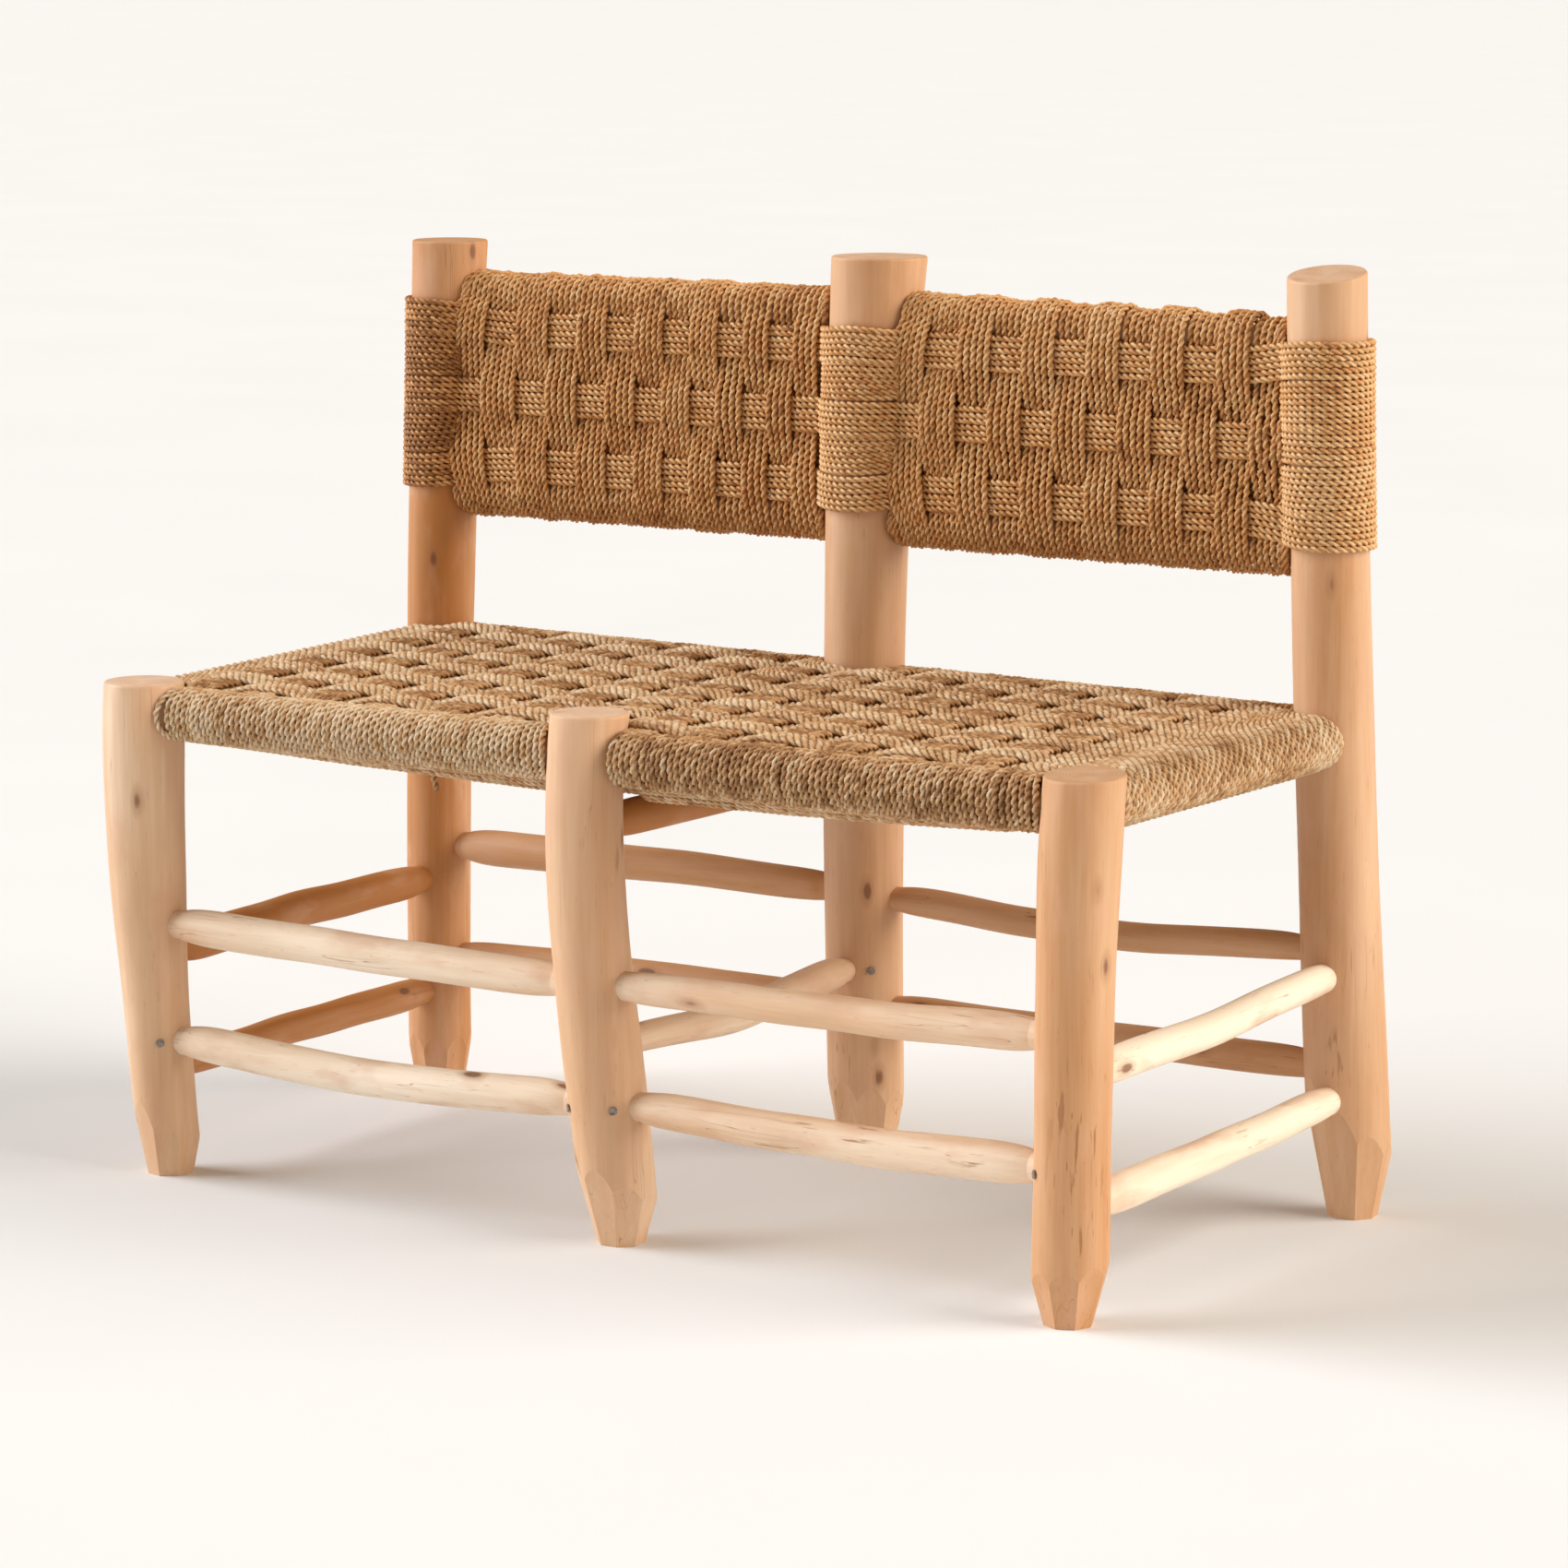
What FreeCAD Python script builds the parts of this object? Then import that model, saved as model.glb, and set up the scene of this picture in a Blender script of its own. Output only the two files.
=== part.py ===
import FreeCAD, Part
import math
import os

from FreeCAD import Vector

# Woven two-seat bench of peeled poles: six poles, round-tenoned sticks, rope seat and back.
# Millimetres; +Z up, +X to the right seen from the front, the front towards -Y.
# The origin is on the floor under the middle of the whole bench.

# Overall sizes: spacing of the pole axes and heights of the sawn pole tops
bench_width = 926.0
bench_depth = 425.0
front_leg_height = 440.0
rear_post_height = 796.0

# Middle of the poles' plan, set so that the bench with its bent poles is centred on the origin
plan_middle = (-2.2, -1.7)

# Rails that carry the weave: how far below the pole tops or the seat they lie, and how far up
# from the seat to the top rail the bottom rail of the back is
seat_rail_drop = 30.0
middle_rail_drop = 60.0
back_top_rail_drop = 51.0
back_bottom_rail_share = 0.4657
seat_rail_height = front_leg_height - seat_rail_drop
middle_rail_height = seat_rail_height - middle_rail_drop
back_top_rail_height = rear_post_height - back_top_rail_drop
back_bottom_rail_height = seat_rail_height + back_bottom_rail_share * (back_top_rail_height - seat_rail_height)

# Heights of the stretchers, as shares of the seat rails' height
front_upper_height = 0.539 * seat_rail_height
front_lower_height = 0.2902 * seat_rail_height
rear_upper_height = 0.5634 * seat_rail_height
rear_lower_height = 0.3122 * seat_rail_height
side_upper_height = 0.4927 * seat_rail_height
side_lower_height = 0.2317 * seat_rail_height
middle_stretcher_height = 0.4024 * seat_rail_height

# Irregular growth: how far a pole's radius swells and a stretcher's axis strays
natural_swell = 0.6
natural_wander = 2.0

# Whittled feet of the poles and their sawn, rounded tops
foot_facets = 8
top_edge_radius = 2.5
saw_margin = 14.0

# Round tenons in blind mortises
stretcher_tenon = 25.0
thin_tenon = 22.0
stretcher_tenon_depth = 24.0
rail_tenon = 22.0
rail_tenon_depth = 18.0
tenon_taper_length = 46.0
tenon_neck = 4.0
mortise_fit = 0.1
mortise_end_gap = 1.0

# Rails under the rope
seat_rail_diameter = 30.0
back_rail_diameter = 28.0
middle_rail_diameter = 31.0

# Rope: woven layer on the rails and the turns on the rear posts
weave_thickness = 8.5
weave_clearance = 0.3
weave_pole_gap = 1.5
seat_sag = 11.0
rope_diameter = 6.0
rope_gap = 0.6
winding_clearance = 0.3
winding_rail_gap = 2.0
winding_fan = 0.19

# Nails through the lower tenons
nail_shank = 2.6
nail_head = 7.0
nail_head_thickness = 1.2
nail_length = 30.0
nail_head_gap = 0.5
nail_angle = 42.0
nail_fit = 0.1

UP = Vector(0, 0, 1)
LOFT_STATIONS = 13
# Waves of the irregular growth: share of the whole, waves along the piece, shift from piece to piece
GROWTH_WAVES = ((0.6, 1.3, 0.37), (0.4, 2.9, 0.61))
WINDING_STEPS_PER_TURN = 4
GAP_POINTS_PER_TURN = 72


def smooth_through(values, s):
    """Smooth curve through values evenly spaced along a length, at the share s of it."""
    steps = len(values) - 1
    total = 0.0
    for i, value in enumerate(values):
        weight = 1.0
        for j in range(steps + 1):
            if j != i:
                weight *= (s * steps - j) / (i - j)
        total += value * weight
    return total


def growth_wave(piece_number, s):
    """Slow irregular wave between -1 and 1 at the share s of a piece's length, each piece its own."""
    total = 0.0
    for share, waves, shift in GROWTH_WAVES:
        total += share * math.sin(2 * math.pi * (waves * s + shift * piece_number))
    return total


def circle(centre, normal, diameter):
    return Part.Wire(Part.makeCircle(diameter / 2, centre, normal))


def rod(start, direction, length, diameter):
    return Part.makeCylinder(diameter / 2, length, start, direction)


def polygon(centre, apothem, sides, turn):
    corner_radius = apothem / math.cos(math.pi / sides)
    corners = []
    for i in range(sides + 1):
        angle = math.radians(turn) + 2 * math.pi * i / sides
        corners.append(centre + Vector(corner_radius * math.cos(angle), corner_radius * math.sin(angle), 0))
    return Part.makePolygon(corners)


class Pole:
    """A peeled pole that stands on its whittled foot, with its own bend and swell.

    bend_x and bend_y hold the axis's offsets from the plan, evenly spaced from the foot to the top,
    and diameters the pole's thickness at the same heights. foot holds the width across the facets
    at the floor, the height of the whittled part and the turn of its facets. seat_rise is how far
    the seat rails' axes lie above the common height here, saw_slope the slant of the top.
    """

    made = 0

    def __init__(self, name, plan, height, bend_x, bend_y, diameters, foot, seat_rise=0.0, saw_slope=0.0):
        Pole.made += 1
        self.number = Pole.made
        self.name = name
        self.plan = plan
        self.height = height
        self.bend_x = bend_x
        self.bend_y = bend_y
        self.diameters = diameters
        self.foot_diameter, self.foot_length, self.facet_turn = foot
        self.seat_height = seat_rail_height + seat_rise
        self.saw_slope = saw_slope
        self.cuts = []
        self.sticks = []

    def axis(self, z):
        s = z / self.height
        x = self.plan[0] + plan_middle[0] + smooth_through(self.bend_x, s)
        y = self.plan[1] + plan_middle[1] + smooth_through(self.bend_y, s)
        return Vector(x, y, z)

    def seat_point(self):
        return self.axis(self.seat_height)

    def radius(self, z):
        s = z / self.height
        return smooth_through(self.diameters, s) / 2 + natural_swell * growth_wave(self.number, s)

    def stem(self, growth=0.0):
        sections = []
        for i in range(LOFT_STATIONS):
            z = (self.height + saw_margin) * i / (LOFT_STATIONS - 1)
            sections.append(circle(self.axis(z), UP, 2 * (self.radius(z) + growth)))
        return Part.makeLoft(sections, True, False)

    def offcut(self):
        """What the saw takes off above the top."""
        upward = Vector(0, -self.saw_slope, 1).normalize()
        return rod(self.axis(self.height), upward, 3 * saw_margin, 4 * self.diameters[-1])

    def whittling(self):
        """A pyramid whose faces slice the facets of the foot and pass clear of the pole above."""
        foot = self.foot_diameter / 2
        slope = (self.radius(self.foot_length) - foot) / self.foot_length
        top = self.height + saw_margin
        low_outline = polygon(self.axis(0), foot, foot_facets, self.facet_turn)
        high_outline = polygon(self.axis(0) + UP * top, foot + slope * top, foot_facets, self.facet_turn)
        return Part.makeLoft([low_outline, high_outline], True, True)

    def solid(self):
        stem = self.stem().cut(self.offcut())
        rims = []
        for edge in stem.Edges:
            if edge.BoundBox.ZMin > self.height - saw_margin:
                rims.append(edge)
        stem = stem.makeFillet(top_edge_radius, rims)
        return stem.common(self.whittling()).cut(self.cuts)


class Stick:
    """A round stick between two poles, whittled down at both ends to tenons in bored mortises.

    bow is how far its middle stands above the straight line between its ends, wander how far
    its axis strays from that bow.
    """

    made = 0

    def __init__(self, name, start, end, heights, diameters, tenon, tenon_depth, bow=0.0, wander=0.0):
        Stick.made += 1
        self.number = Stick.made
        self.name = name
        self.tenon = tenon
        self.tenon_depth = tenon_depth
        self.diameters = diameters
        self.bow = bow
        self.wander = wander
        self.ends = (start, end)
        self.heights = heights
        self.cuts = []
        self.start = start.axis(heights[0])
        self.end = end.axis(heights[1])
        self.direction = (self.end - self.start).normalize()
        self.sideways = self.direction.cross(UP)
        self.length = (self.end - self.start).Length
        self.faces = (start.radius(heights[0]), self.length - end.radius(heights[1]))
        self.necks = (self.faces[0] + tenon_neck, self.faces[1] - tenon_neck)
        self.bore(start, self.start, self.direction, self.faces[0])
        self.bore(end, self.end, self.direction * -1, self.length - self.faces[1])

    def bore(self, pole, centre, direction, face):
        """Mortise bored into the pole, and through any tenon already there that stands in its way."""
        bottom = centre + direction * (face - self.tenon_depth - mortise_end_gap)
        length = self.tenon_depth + mortise_end_gap + pole.radius(0)
        mortise = rod(bottom, direction, length, self.tenon + mortise_fit)
        pole.cuts.append(mortise)
        for earlier in pole.sticks:
            earlier.cuts.append(mortise)
        pole.sticks.append(self)

    def centre(self, distance):
        """Point on the stick's axis: straight at the tenons, bowed and straying between them."""
        s = (distance - self.necks[0]) / (self.necks[1] - self.necks[0])
        freedom = 16 * s * s * (1 - s) * (1 - s)
        rise = self.bow + self.wander / 2 * growth_wave(self.number, s)
        stray = self.wander * growth_wave(2 * self.number + 1, s)
        return self.start + self.direction * distance + (UP * rise + self.sideways * stray) * freedom

    def thickness(self, distance):
        s = distance / self.length
        return self.diameters[0] * (1 - s) + self.diameters[1] * s

    def solid(self):
        first, last = self.necks
        body_first = first + tenon_taper_length
        body_last = last - tenon_taper_length
        sections = [circle(self.centre(first), self.direction, self.tenon)]
        for i in range(LOFT_STATIONS):
            distance = body_first + (body_last - body_first) * i / (LOFT_STATIONS - 1)
            sections.append(circle(self.centre(distance), self.direction, self.thickness(distance)))
        sections.append(circle(self.centre(last), self.direction, self.tenon))
        body = Part.makeLoft(sections, True, False)
        tenon_length = self.tenon_depth + tenon_neck
        first_tenon = rod(self.centre(first), self.direction * -1, tenon_length, self.tenon)
        last_tenon = rod(self.centre(last), self.direction, tenon_length, self.tenon)
        stick = body.fuse([first_tenon, last_tenon])
        if self.cuts:
            stick = stick.cut(self.cuts)
        return stick

    def channel(self, growth):
        """Straight round passage for the stick, from pole axis to pole axis."""
        return rod(self.start, self.direction, self.length, self.diameters[0] + 2 * growth)


def stadium(low, high, radius, side, sag=0.0):
    """Closed outline of two straight runs and quarter arcs around two rail axes.

    side points from the second run to the first, and the second run hangs lower by the sag.
    """
    along = (high - low).normalize()
    slant = math.sqrt(0.5)
    first = side * radius
    second = side * (radius + sag) * -1
    quarters = []
    for centre, out, near, far in ((low, along * -radius, first, second), (high, along * radius, second, first)):
        quarters.append((centre + near, centre + (near + out) * slant, centre + out))
        quarters.append((centre + out, centre + (far + out) * slant, centre + far))
    arcs = [Part.Arc(*three).toShape() for three in quarters]
    second_run = Part.makeLine(quarters[1][2], quarters[2][0])
    first_run = Part.makeLine(quarters[3][2], quarters[0][0])
    return Part.Wire([arcs[0], arcs[1], second_run, arcs[2], arcs[3], first_run])


def biarc(start, start_way, end, end_way):
    """Two arcs that leave start and reach end along the given unit directions."""
    chord = end - start
    ways = start_way + end_way
    a = 2 * (start_way.dot(end_way) - 1)
    b = -2 * chord.dot(ways)
    c = chord.dot(chord)
    reach = (-b - math.sqrt(b * b - 4 * a * c)) / (2 * a)
    first_corner = start + start_way * reach
    second_corner = end - end_way * reach
    joint = (first_corner + second_corner) * 0.5
    return [corner_arc(start, first_corner, joint), corner_arc(joint, second_corner, end)]


def corner_arc(start, corner, end):
    """Arc tangent to both legs of a corner whose legs are equally long."""
    middle = (start + end) * 0.5
    half_chord = (end - middle).Length
    rise = (corner - middle).Length
    leg = math.hypot(half_chord, rise)
    sagitta = half_chord * (leg - half_chord) / rise
    crown = middle + (corner - middle).normalize() * sagitta
    return Part.Arc(start, crown, end)


class Winding:
    """Rope wound round a rear post between the two back rails, one unbroken tube.

    The turns lie close beside the rails and fan out on the post's open sides.
    """

    def __init__(self, name, post, rails):
        self.name = name
        self.post = post
        margin = rail_tenon / 2 + winding_rail_gap + rope_diameter / 2
        heights = [height for rail in rails for height in rail.heights]
        middle = (back_bottom_rail_height + back_top_rail_height) / 2
        lowest = max(height for height in heights if height < middle) + margin
        highest = min(height for height in heights if height > middle) - margin
        self.pitch = rope_diameter + rope_gap
        self.turns = int((highest - lowest) / self.pitch)
        self.bottom = lowest
        self.middle = lowest + self.turns * self.pitch / 2
        self.rail_sides = {1 if rail.ends[0] is post else -1 for rail in rails}

    def openness(self, angle):
        """0 on a side where a rail enters the post, 1 on the sides that are free."""
        share = 4 ** (len(self.rail_sides) - 1)
        for side in self.rail_sides:
            share *= (1 - side * math.cos(angle)) / 2
        return share

    def point(self, turn):
        angle = 2 * math.pi * turn + math.pi / 2
        level = self.bottom + turn * self.pitch
        z = level + winding_fan * self.openness(angle) * (level - self.middle)
        radius = self.post.radius(z) + winding_clearance + rope_diameter / 2
        return self.post.axis(z) + Vector(radius * math.cos(angle), radius * math.sin(angle), 0)

    def way(self, turn):
        step = 0.001
        return (self.point(turn + step) - self.point(turn - step)).normalize()

    def path(self):
        arcs = []
        for i in range(self.turns * WINDING_STEPS_PER_TURN):
            first = i / WINDING_STEPS_PER_TURN
            last = (i + 1) / WINDING_STEPS_PER_TURN
            arcs += biarc(self.point(first), self.way(first), self.point(last), self.way(last))
        return arcs

    def solid(self):
        edges = [arc.toShape() for arc in self.path()]
        spine = Part.Wire(edges)
        profile = circle(self.point(0), self.way(0), rope_diameter)
        tube = spine.makePipeShell([profile], True, False)
        tightest = min(edge.Curve.Radius for edge in edges)
        gap = self.least_gap(spine)
        print(self.name, self.turns, "turns, least gap", round(gap, 2), "tightest bend", round(tightest, 1))
        return tube

    def least_gap(self, spine):
        """Least distance between the tube's neighbouring turns, on points along its axis."""
        points = spine.discretize(self.turns * GAP_POINTS_PER_TURN + 1)
        least = self.turns * self.pitch
        for i, point in enumerate(points):
            first = i + GAP_POINTS_PER_TURN // 2
            for other in points[first:first + GAP_POINTS_PER_TURN]:
                least = min(least, (other - point).Length)
        return least - rope_diameter


# Poles, front row and rear row, each with its natural bends and thicknesses
left = -bench_width / 2
right = bench_width / 2
front = -bench_depth / 2
rear = bench_depth / 2
front_left = Pole("front_left_leg", (left, front), front_leg_height - 4,
                  (3, -4, -8, -7), (4, -3, -8, -8), (57, 58, 67, 70), (38, 46, 10))
front_middle = Pole("front_middle_leg", (0, front), front_leg_height + 6,
                    (15, 5, -6, -2), (16, 7, -1, 0), (65, 66, 65, 65), (37, 54, 25))
front_right = Pole("front_right_leg", (right, front), front_leg_height - 4,
                   (-5, -3, -2, 3), (-5, -4, -3, 0), (60, 61, 63, 65), (37, 48, 0), saw_slope=0.06)
rear_left = Pole("rear_left_post", (left, rear), rear_post_height - 1,
                 (-12, -12, -7, 1), (-10, -8, -5, 1), (59, 60, 62, 70), (42, 54, 5), seat_rise=9)
rear_middle = Pole("rear_middle_post", (0, rear), rear_post_height,
                   (-2, -5, -4, 5), (-3, -5, -3, 3), (67, 70, 74, 84), (46, 60, 18), seat_rise=5)
rear_right = Pole("rear_right_post", (right, rear), rear_post_height + 1,
                  (16, 3, -7, -14), (10, 2, -4, -7), (70, 69, 66, 67), (39, 85, 32), saw_slope=0.18)
poles = [front_left, front_middle, front_right, rear_left, rear_middle, rear_right]
rear_posts = [rear_left, rear_middle, rear_right]


def seat_rail(name, start, end):
    heights = (start.seat_height, end.seat_height)
    thickness = (seat_rail_diameter, seat_rail_diameter)
    return Stick(name, start, end, heights, thickness, rail_tenon, rail_tenon_depth)


def back_rail(name, start, end, height, rises=(0, 0)):
    heights = (height + rises[0], height + rises[1])
    thickness = (back_rail_diameter, back_rail_diameter)
    return Stick(name, start, end, heights, thickness, rail_tenon, rail_tenon_depth)


def stretcher(name, start, end, height, rises, thickness, bow, tenon=stretcher_tenon):
    heights = (height + rises[0], height + rises[1])
    return Stick(name, start, end, heights, thickness, tenon, stretcher_tenon_depth, bow, natural_wander)


# Rails that the rope is woven on
front_rails = [seat_rail("front_seat_rail_left", front_left, front_middle),
               seat_rail("front_seat_rail_right", front_middle, front_right)]
rear_rails = [seat_rail("rear_seat_rail_left", rear_left, rear_middle),
              seat_rail("rear_seat_rail_right", rear_middle, rear_right)]
side_rails = [seat_rail("left_seat_rail", front_left, rear_left),
              seat_rail("right_seat_rail", front_right, rear_right)]
seat_rails = front_rails + rear_rails + side_rails
middle_rail = Stick("middle_seat_rail", front_middle, rear_middle, (middle_rail_height, middle_rail_height),
                    (middle_rail_diameter, middle_rail_diameter), stretcher_tenon, stretcher_tenon_depth)
left_back_rails = [back_rail("back_bottom_rail_left", rear_left, rear_middle, back_bottom_rail_height),
                   back_rail("back_top_rail_left", rear_left, rear_middle, back_top_rail_height)]
right_back_rails = [back_rail("back_bottom_rail_right", rear_middle, rear_right, back_bottom_rail_height),
                    back_rail("back_top_rail_right", rear_middle, rear_right, back_top_rail_height, (-1, -8))]

# Stretchers: how far each end is set above its row's height, thickness at both ends, bow
front_lower_left = stretcher("front_stretcher_lower_left", front_left, front_middle,
                             front_lower_height, (2, -3), (32, 32), -8)
front_lower_right = stretcher("front_stretcher_lower_right", front_middle, front_right,
                              front_lower_height, (0, 3), (30, 34), -4)
middle_stretcher = stretcher("middle_stretcher", front_middle, rear_middle,
                             middle_stretcher_height, (-1, 2), (24, 31), -8, thin_tenon)
stretchers = [
    stretcher("front_stretcher_upper_left", front_left, front_middle,
              front_upper_height, (4, -4), (33, 31), -1),
    stretcher("front_stretcher_upper_right", front_middle, front_right,
              front_upper_height, (-1, 7), (27, 31), -2),
    front_lower_left,
    front_lower_right,
    stretcher("rear_stretcher_upper_left", rear_left, rear_middle,
              rear_upper_height, (1, 2), (35, 28), 2),
    stretcher("rear_stretcher_upper_right", rear_middle, rear_right,
              rear_upper_height, (-2, -4), (27, 25), -9, thin_tenon),
    stretcher("rear_stretcher_lower_left", rear_left, rear_middle,
              rear_lower_height, (-1, 2), (30, 29), 2),
    stretcher("rear_stretcher_lower_right", rear_middle, rear_right,
              rear_lower_height, (1, -1), (29, 28), -1),
    stretcher("side_stretcher_upper_left", front_left, rear_left,
              side_upper_height, (-6, 0), (35, 31), 2),
    stretcher("side_stretcher_upper_right", front_right, rear_right,
              side_upper_height, (-7, 9), (29, 27), -3),
    stretcher("side_stretcher_lower_left", front_left, rear_left,
              side_lower_height, (-2, 0), (27, 30), 1),
    stretcher("side_stretcher_lower_right", front_right, rear_right,
              side_lower_height, (-5, 11), (32, 28), -2),
    middle_stretcher,
]
sticks = seat_rails + [middle_rail] + left_back_rails + right_back_rails + stretchers


def nail(stick, pole, height, side):
    """Nail driven towards the pole's axis, through the tenon beside it, with its own hole."""
    angle = math.radians(nail_angle * side)
    inward = Vector(-math.sin(angle), math.cos(angle), 0)
    seat = pole.axis(height) - inward * (pole.radius(height) + nail_head_gap)
    hole = rod(seat, inward, nail_length, nail_shank + nail_fit)
    pole.cuts.append(hole)
    stick.cuts.append(hole)
    shank = rod(seat, inward, nail_length, nail_shank)
    head = rod(seat, inward * -1, nail_head_thickness, nail_head)
    return shank.fuse(head)


nails = [
    nail(front_lower_left, front_left, front_lower_left.heights[0], 1),
    nail(front_lower_left, front_middle, front_lower_left.heights[1], -1),
    nail(front_lower_right, front_middle, front_lower_right.heights[0], 1),
    nail(front_lower_right, front_right, front_lower_right.heights[1], -1),
    nail(middle_stretcher, rear_middle, middle_stretcher.heights[1], 1),
]


def seat_weave():
    """Rope seat: a slab rounded over the four sides' rails, notched round the six poles."""
    radius = seat_rail_diameter / 2 + weave_clearance + weave_thickness
    outlines = []
    for front_pole, rear_pole, sag in zip(poles[:3], rear_posts, (0, seat_sag, 0)):
        side = (rear_pole.seat_point() - front_pole.seat_point()).cross(Vector(-1, 0, 0)).normalize()
        outlines.append(stadium(front_pole.seat_point(), rear_pole.seat_point(), radius, side, sag))
    slab = Part.makeLoft(outlines, True, True)
    slab = slab.fuse([rail.channel(weave_clearance + weave_thickness) for rail in side_rails])
    slab = slab.cut([rail.channel(weave_clearance) for rail in seat_rails])
    return slab.cut([pole.stem(weave_pole_gap) for pole in poles])


def back_weave(rails, posts):
    """Rope panel of the back: a slab rounded over its two rails, hollowed at the wound posts."""
    radius = back_rail_diameter / 2 + weave_clearance + weave_thickness
    outlines = []
    bottom_rail, top_rail = rails
    for low, high in ((bottom_rail.start, top_rail.start), (bottom_rail.end, top_rail.end)):
        side = (high - low).cross(Vector(1, 0, 0)).normalize()
        outlines.append(stadium(low, high, radius, side))
    slab = Part.makeLoft(outlines, True, True)
    slab = slab.cut([rail.channel(weave_clearance) for rail in rails])
    room = winding_clearance + rope_diameter + weave_pole_gap
    return slab.cut([post.stem(room) for post in posts])


parts = {}
for pole in poles:
    parts[pole.name] = pole.solid()
for stick in sticks:
    parts[stick.name] = stick.solid()
parts["seat_weave"] = seat_weave()
parts["back_weave_left"] = back_weave(left_back_rails, (rear_left, rear_middle))
parts["back_weave_right"] = back_weave(right_back_rails, (rear_middle, rear_right))
for post in rear_posts:
    rails = [rail for rail in left_back_rails + right_back_rails if post in rail.ends]
    winding = Winding(post.name + "_winding", post, rails)
    parts[winding.name] = winding.solid()
parts["tenon_nails"] = Part.makeCompound(nails)

os.makedirs("parts", exist_ok=True)
for name, shape in parts.items():
    shape.exportStep("parts/" + name + ".step")
    print(name, "solids", len(shape.Solids), "valid", shape.isValid(), "volume", round(shape.Volume))
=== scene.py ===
import math

import bpy
import numpy as np
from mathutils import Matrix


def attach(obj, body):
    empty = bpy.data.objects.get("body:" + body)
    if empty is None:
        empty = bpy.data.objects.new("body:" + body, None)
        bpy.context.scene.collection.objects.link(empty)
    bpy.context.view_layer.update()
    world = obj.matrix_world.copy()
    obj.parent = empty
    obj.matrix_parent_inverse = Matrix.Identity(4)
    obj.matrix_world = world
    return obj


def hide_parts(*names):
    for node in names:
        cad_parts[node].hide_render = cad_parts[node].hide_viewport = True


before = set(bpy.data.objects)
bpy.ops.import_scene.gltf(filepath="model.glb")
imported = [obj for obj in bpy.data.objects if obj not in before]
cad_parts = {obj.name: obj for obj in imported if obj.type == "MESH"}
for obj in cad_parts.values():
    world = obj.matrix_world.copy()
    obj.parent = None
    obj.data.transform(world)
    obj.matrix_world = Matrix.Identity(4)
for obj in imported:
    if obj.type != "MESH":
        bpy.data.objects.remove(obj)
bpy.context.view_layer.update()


# Poles. Six peeled poles stand on whittled feet and carry everything else; their tops are sawn
# off and lightly rounded. The wood is bare: fine grain along the pole, flats left by the peeling
# knife, brown streaks where bark was left on, and small knots.

class Shade:
    """A socket of a material. Sums of sockets add the Math nodes that work them out."""

    def __init__(self, socket):
        self.socket = socket

    def node(self, kind, settings, sockets, output=0):
        """Adds a node to the same material, sets it up, and gives back one of its outputs."""
        tree = self.socket.id_data
        made = tree.nodes.new("ShaderNode" + kind)
        for name, value in settings.items():
            setattr(made, name, value)
        for name, value in sockets.items():
            if isinstance(value, Shade):
                tree.links.new(value.socket, made.inputs[name])
            else:
                made.inputs[name].default_value = value
        return Shade(made.outputs[output])

    def maths(self, operation, first, second=0.0):
        """A Math node on one or two values."""
        return self.node("Math", {"operation": operation}, {0: first, 1: second})

    def __add__(self, other):
        return self.maths("ADD", self, other)

    __radd__ = __add__

    def __sub__(self, other):
        return self.maths("SUBTRACT", self, other)

    def __rsub__(self, other):
        return self.maths("SUBTRACT", other, self)

    def __mul__(self, other):
        return self.maths("MULTIPLY", self, other)

    __rmul__ = __mul__

    def __abs__(self):
        return self.maths("ABSOLUTE", self)

    def vector(self, operation, other=(0, 0, 0), output=0):
        """A VectorMath node on this place or direction and another."""
        return self.node("VectorMath", {"operation": operation}, {0: self, 1: other}, output)

    def rise(self, low, high):
        """0 below low, 1 above high, smooth between; falls instead where low is above high."""
        return self.node("MapRange", {"interpolation_type": "SMOOTHSTEP"},
                         {"Value": self, "From Min": low, "From Max": high})

    def blend(self, kind, share, first, second):
        """A Mix node on two colours, which are its sockets 6 and 7; its output 2 is the result."""
        colours = [each if isinstance(each, Shade) else (*each, 1) for each in (first, second)]
        settings = {"data_type": "RGBA", "blend_type": kind}
        return self.node("Mix", settings, {0: share, 6: colours[0], 7: colours[1]}, 2)

    def mix(self, first, second):
        """Colour that goes from the first to the second as this value goes from 0 to 1."""
        return self.blend("MIX", self, first, second)

    def ramp(self, stops):
        """Colour that changes with this value; each stop is a value and the colour there."""
        ramped = self.node("ValToRGB", {}, {"Fac": self})
        elements = ramped.socket.node.color_ramp.elements
        for position, _ in stops[1:-1]:
            elements.new(position)
        for element, (position, colour) in zip(elements, stops):
            element.position = position
            element.color = (*colour, 1)
        return ramped

    def drawn_out(self, size, axis, start):
        """This place in cells of a size across and along one axis, in metres, from a start."""
        across, along = size
        scale = [1 / across] * 3
        scale[axis] = 1 / along
        return self.node("Mapping", {}, {"Vector": self, "Location": start, "Scale": scale})

    def noise(self, detail):
        """Noise at this place, about 0.5 on average."""
        return self.node("TexNoise", {}, {"Vector": self, "Scale": 1.0, "Detail": detail})

    def grain(self, size, axis, seed, detail=3.0):
        """Noise with patches of a size across and along one axis."""
        return self.drawn_out(size, axis, (seed, 2.3 * seed, 5.1 * seed)).noise(detail)

    def relief(self, strength, depth):
        """Normal of a surface that this value raises and sinks."""
        return self.node("Bump", {}, {"Height": self, "Strength": strength, "Distance": depth})


def new_finish(name):
    """An empty material: itself, its shader, and the place on the object to start patterns from."""
    material = bpy.data.materials.new(name)
    material.use_nodes = True
    tree = material.node_tree
    shader = tree.nodes["Principled BSDF"]
    place = Shade(tree.nodes.new("ShaderNodeTexCoord").outputs["Object"])
    return material, shader, place


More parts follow.
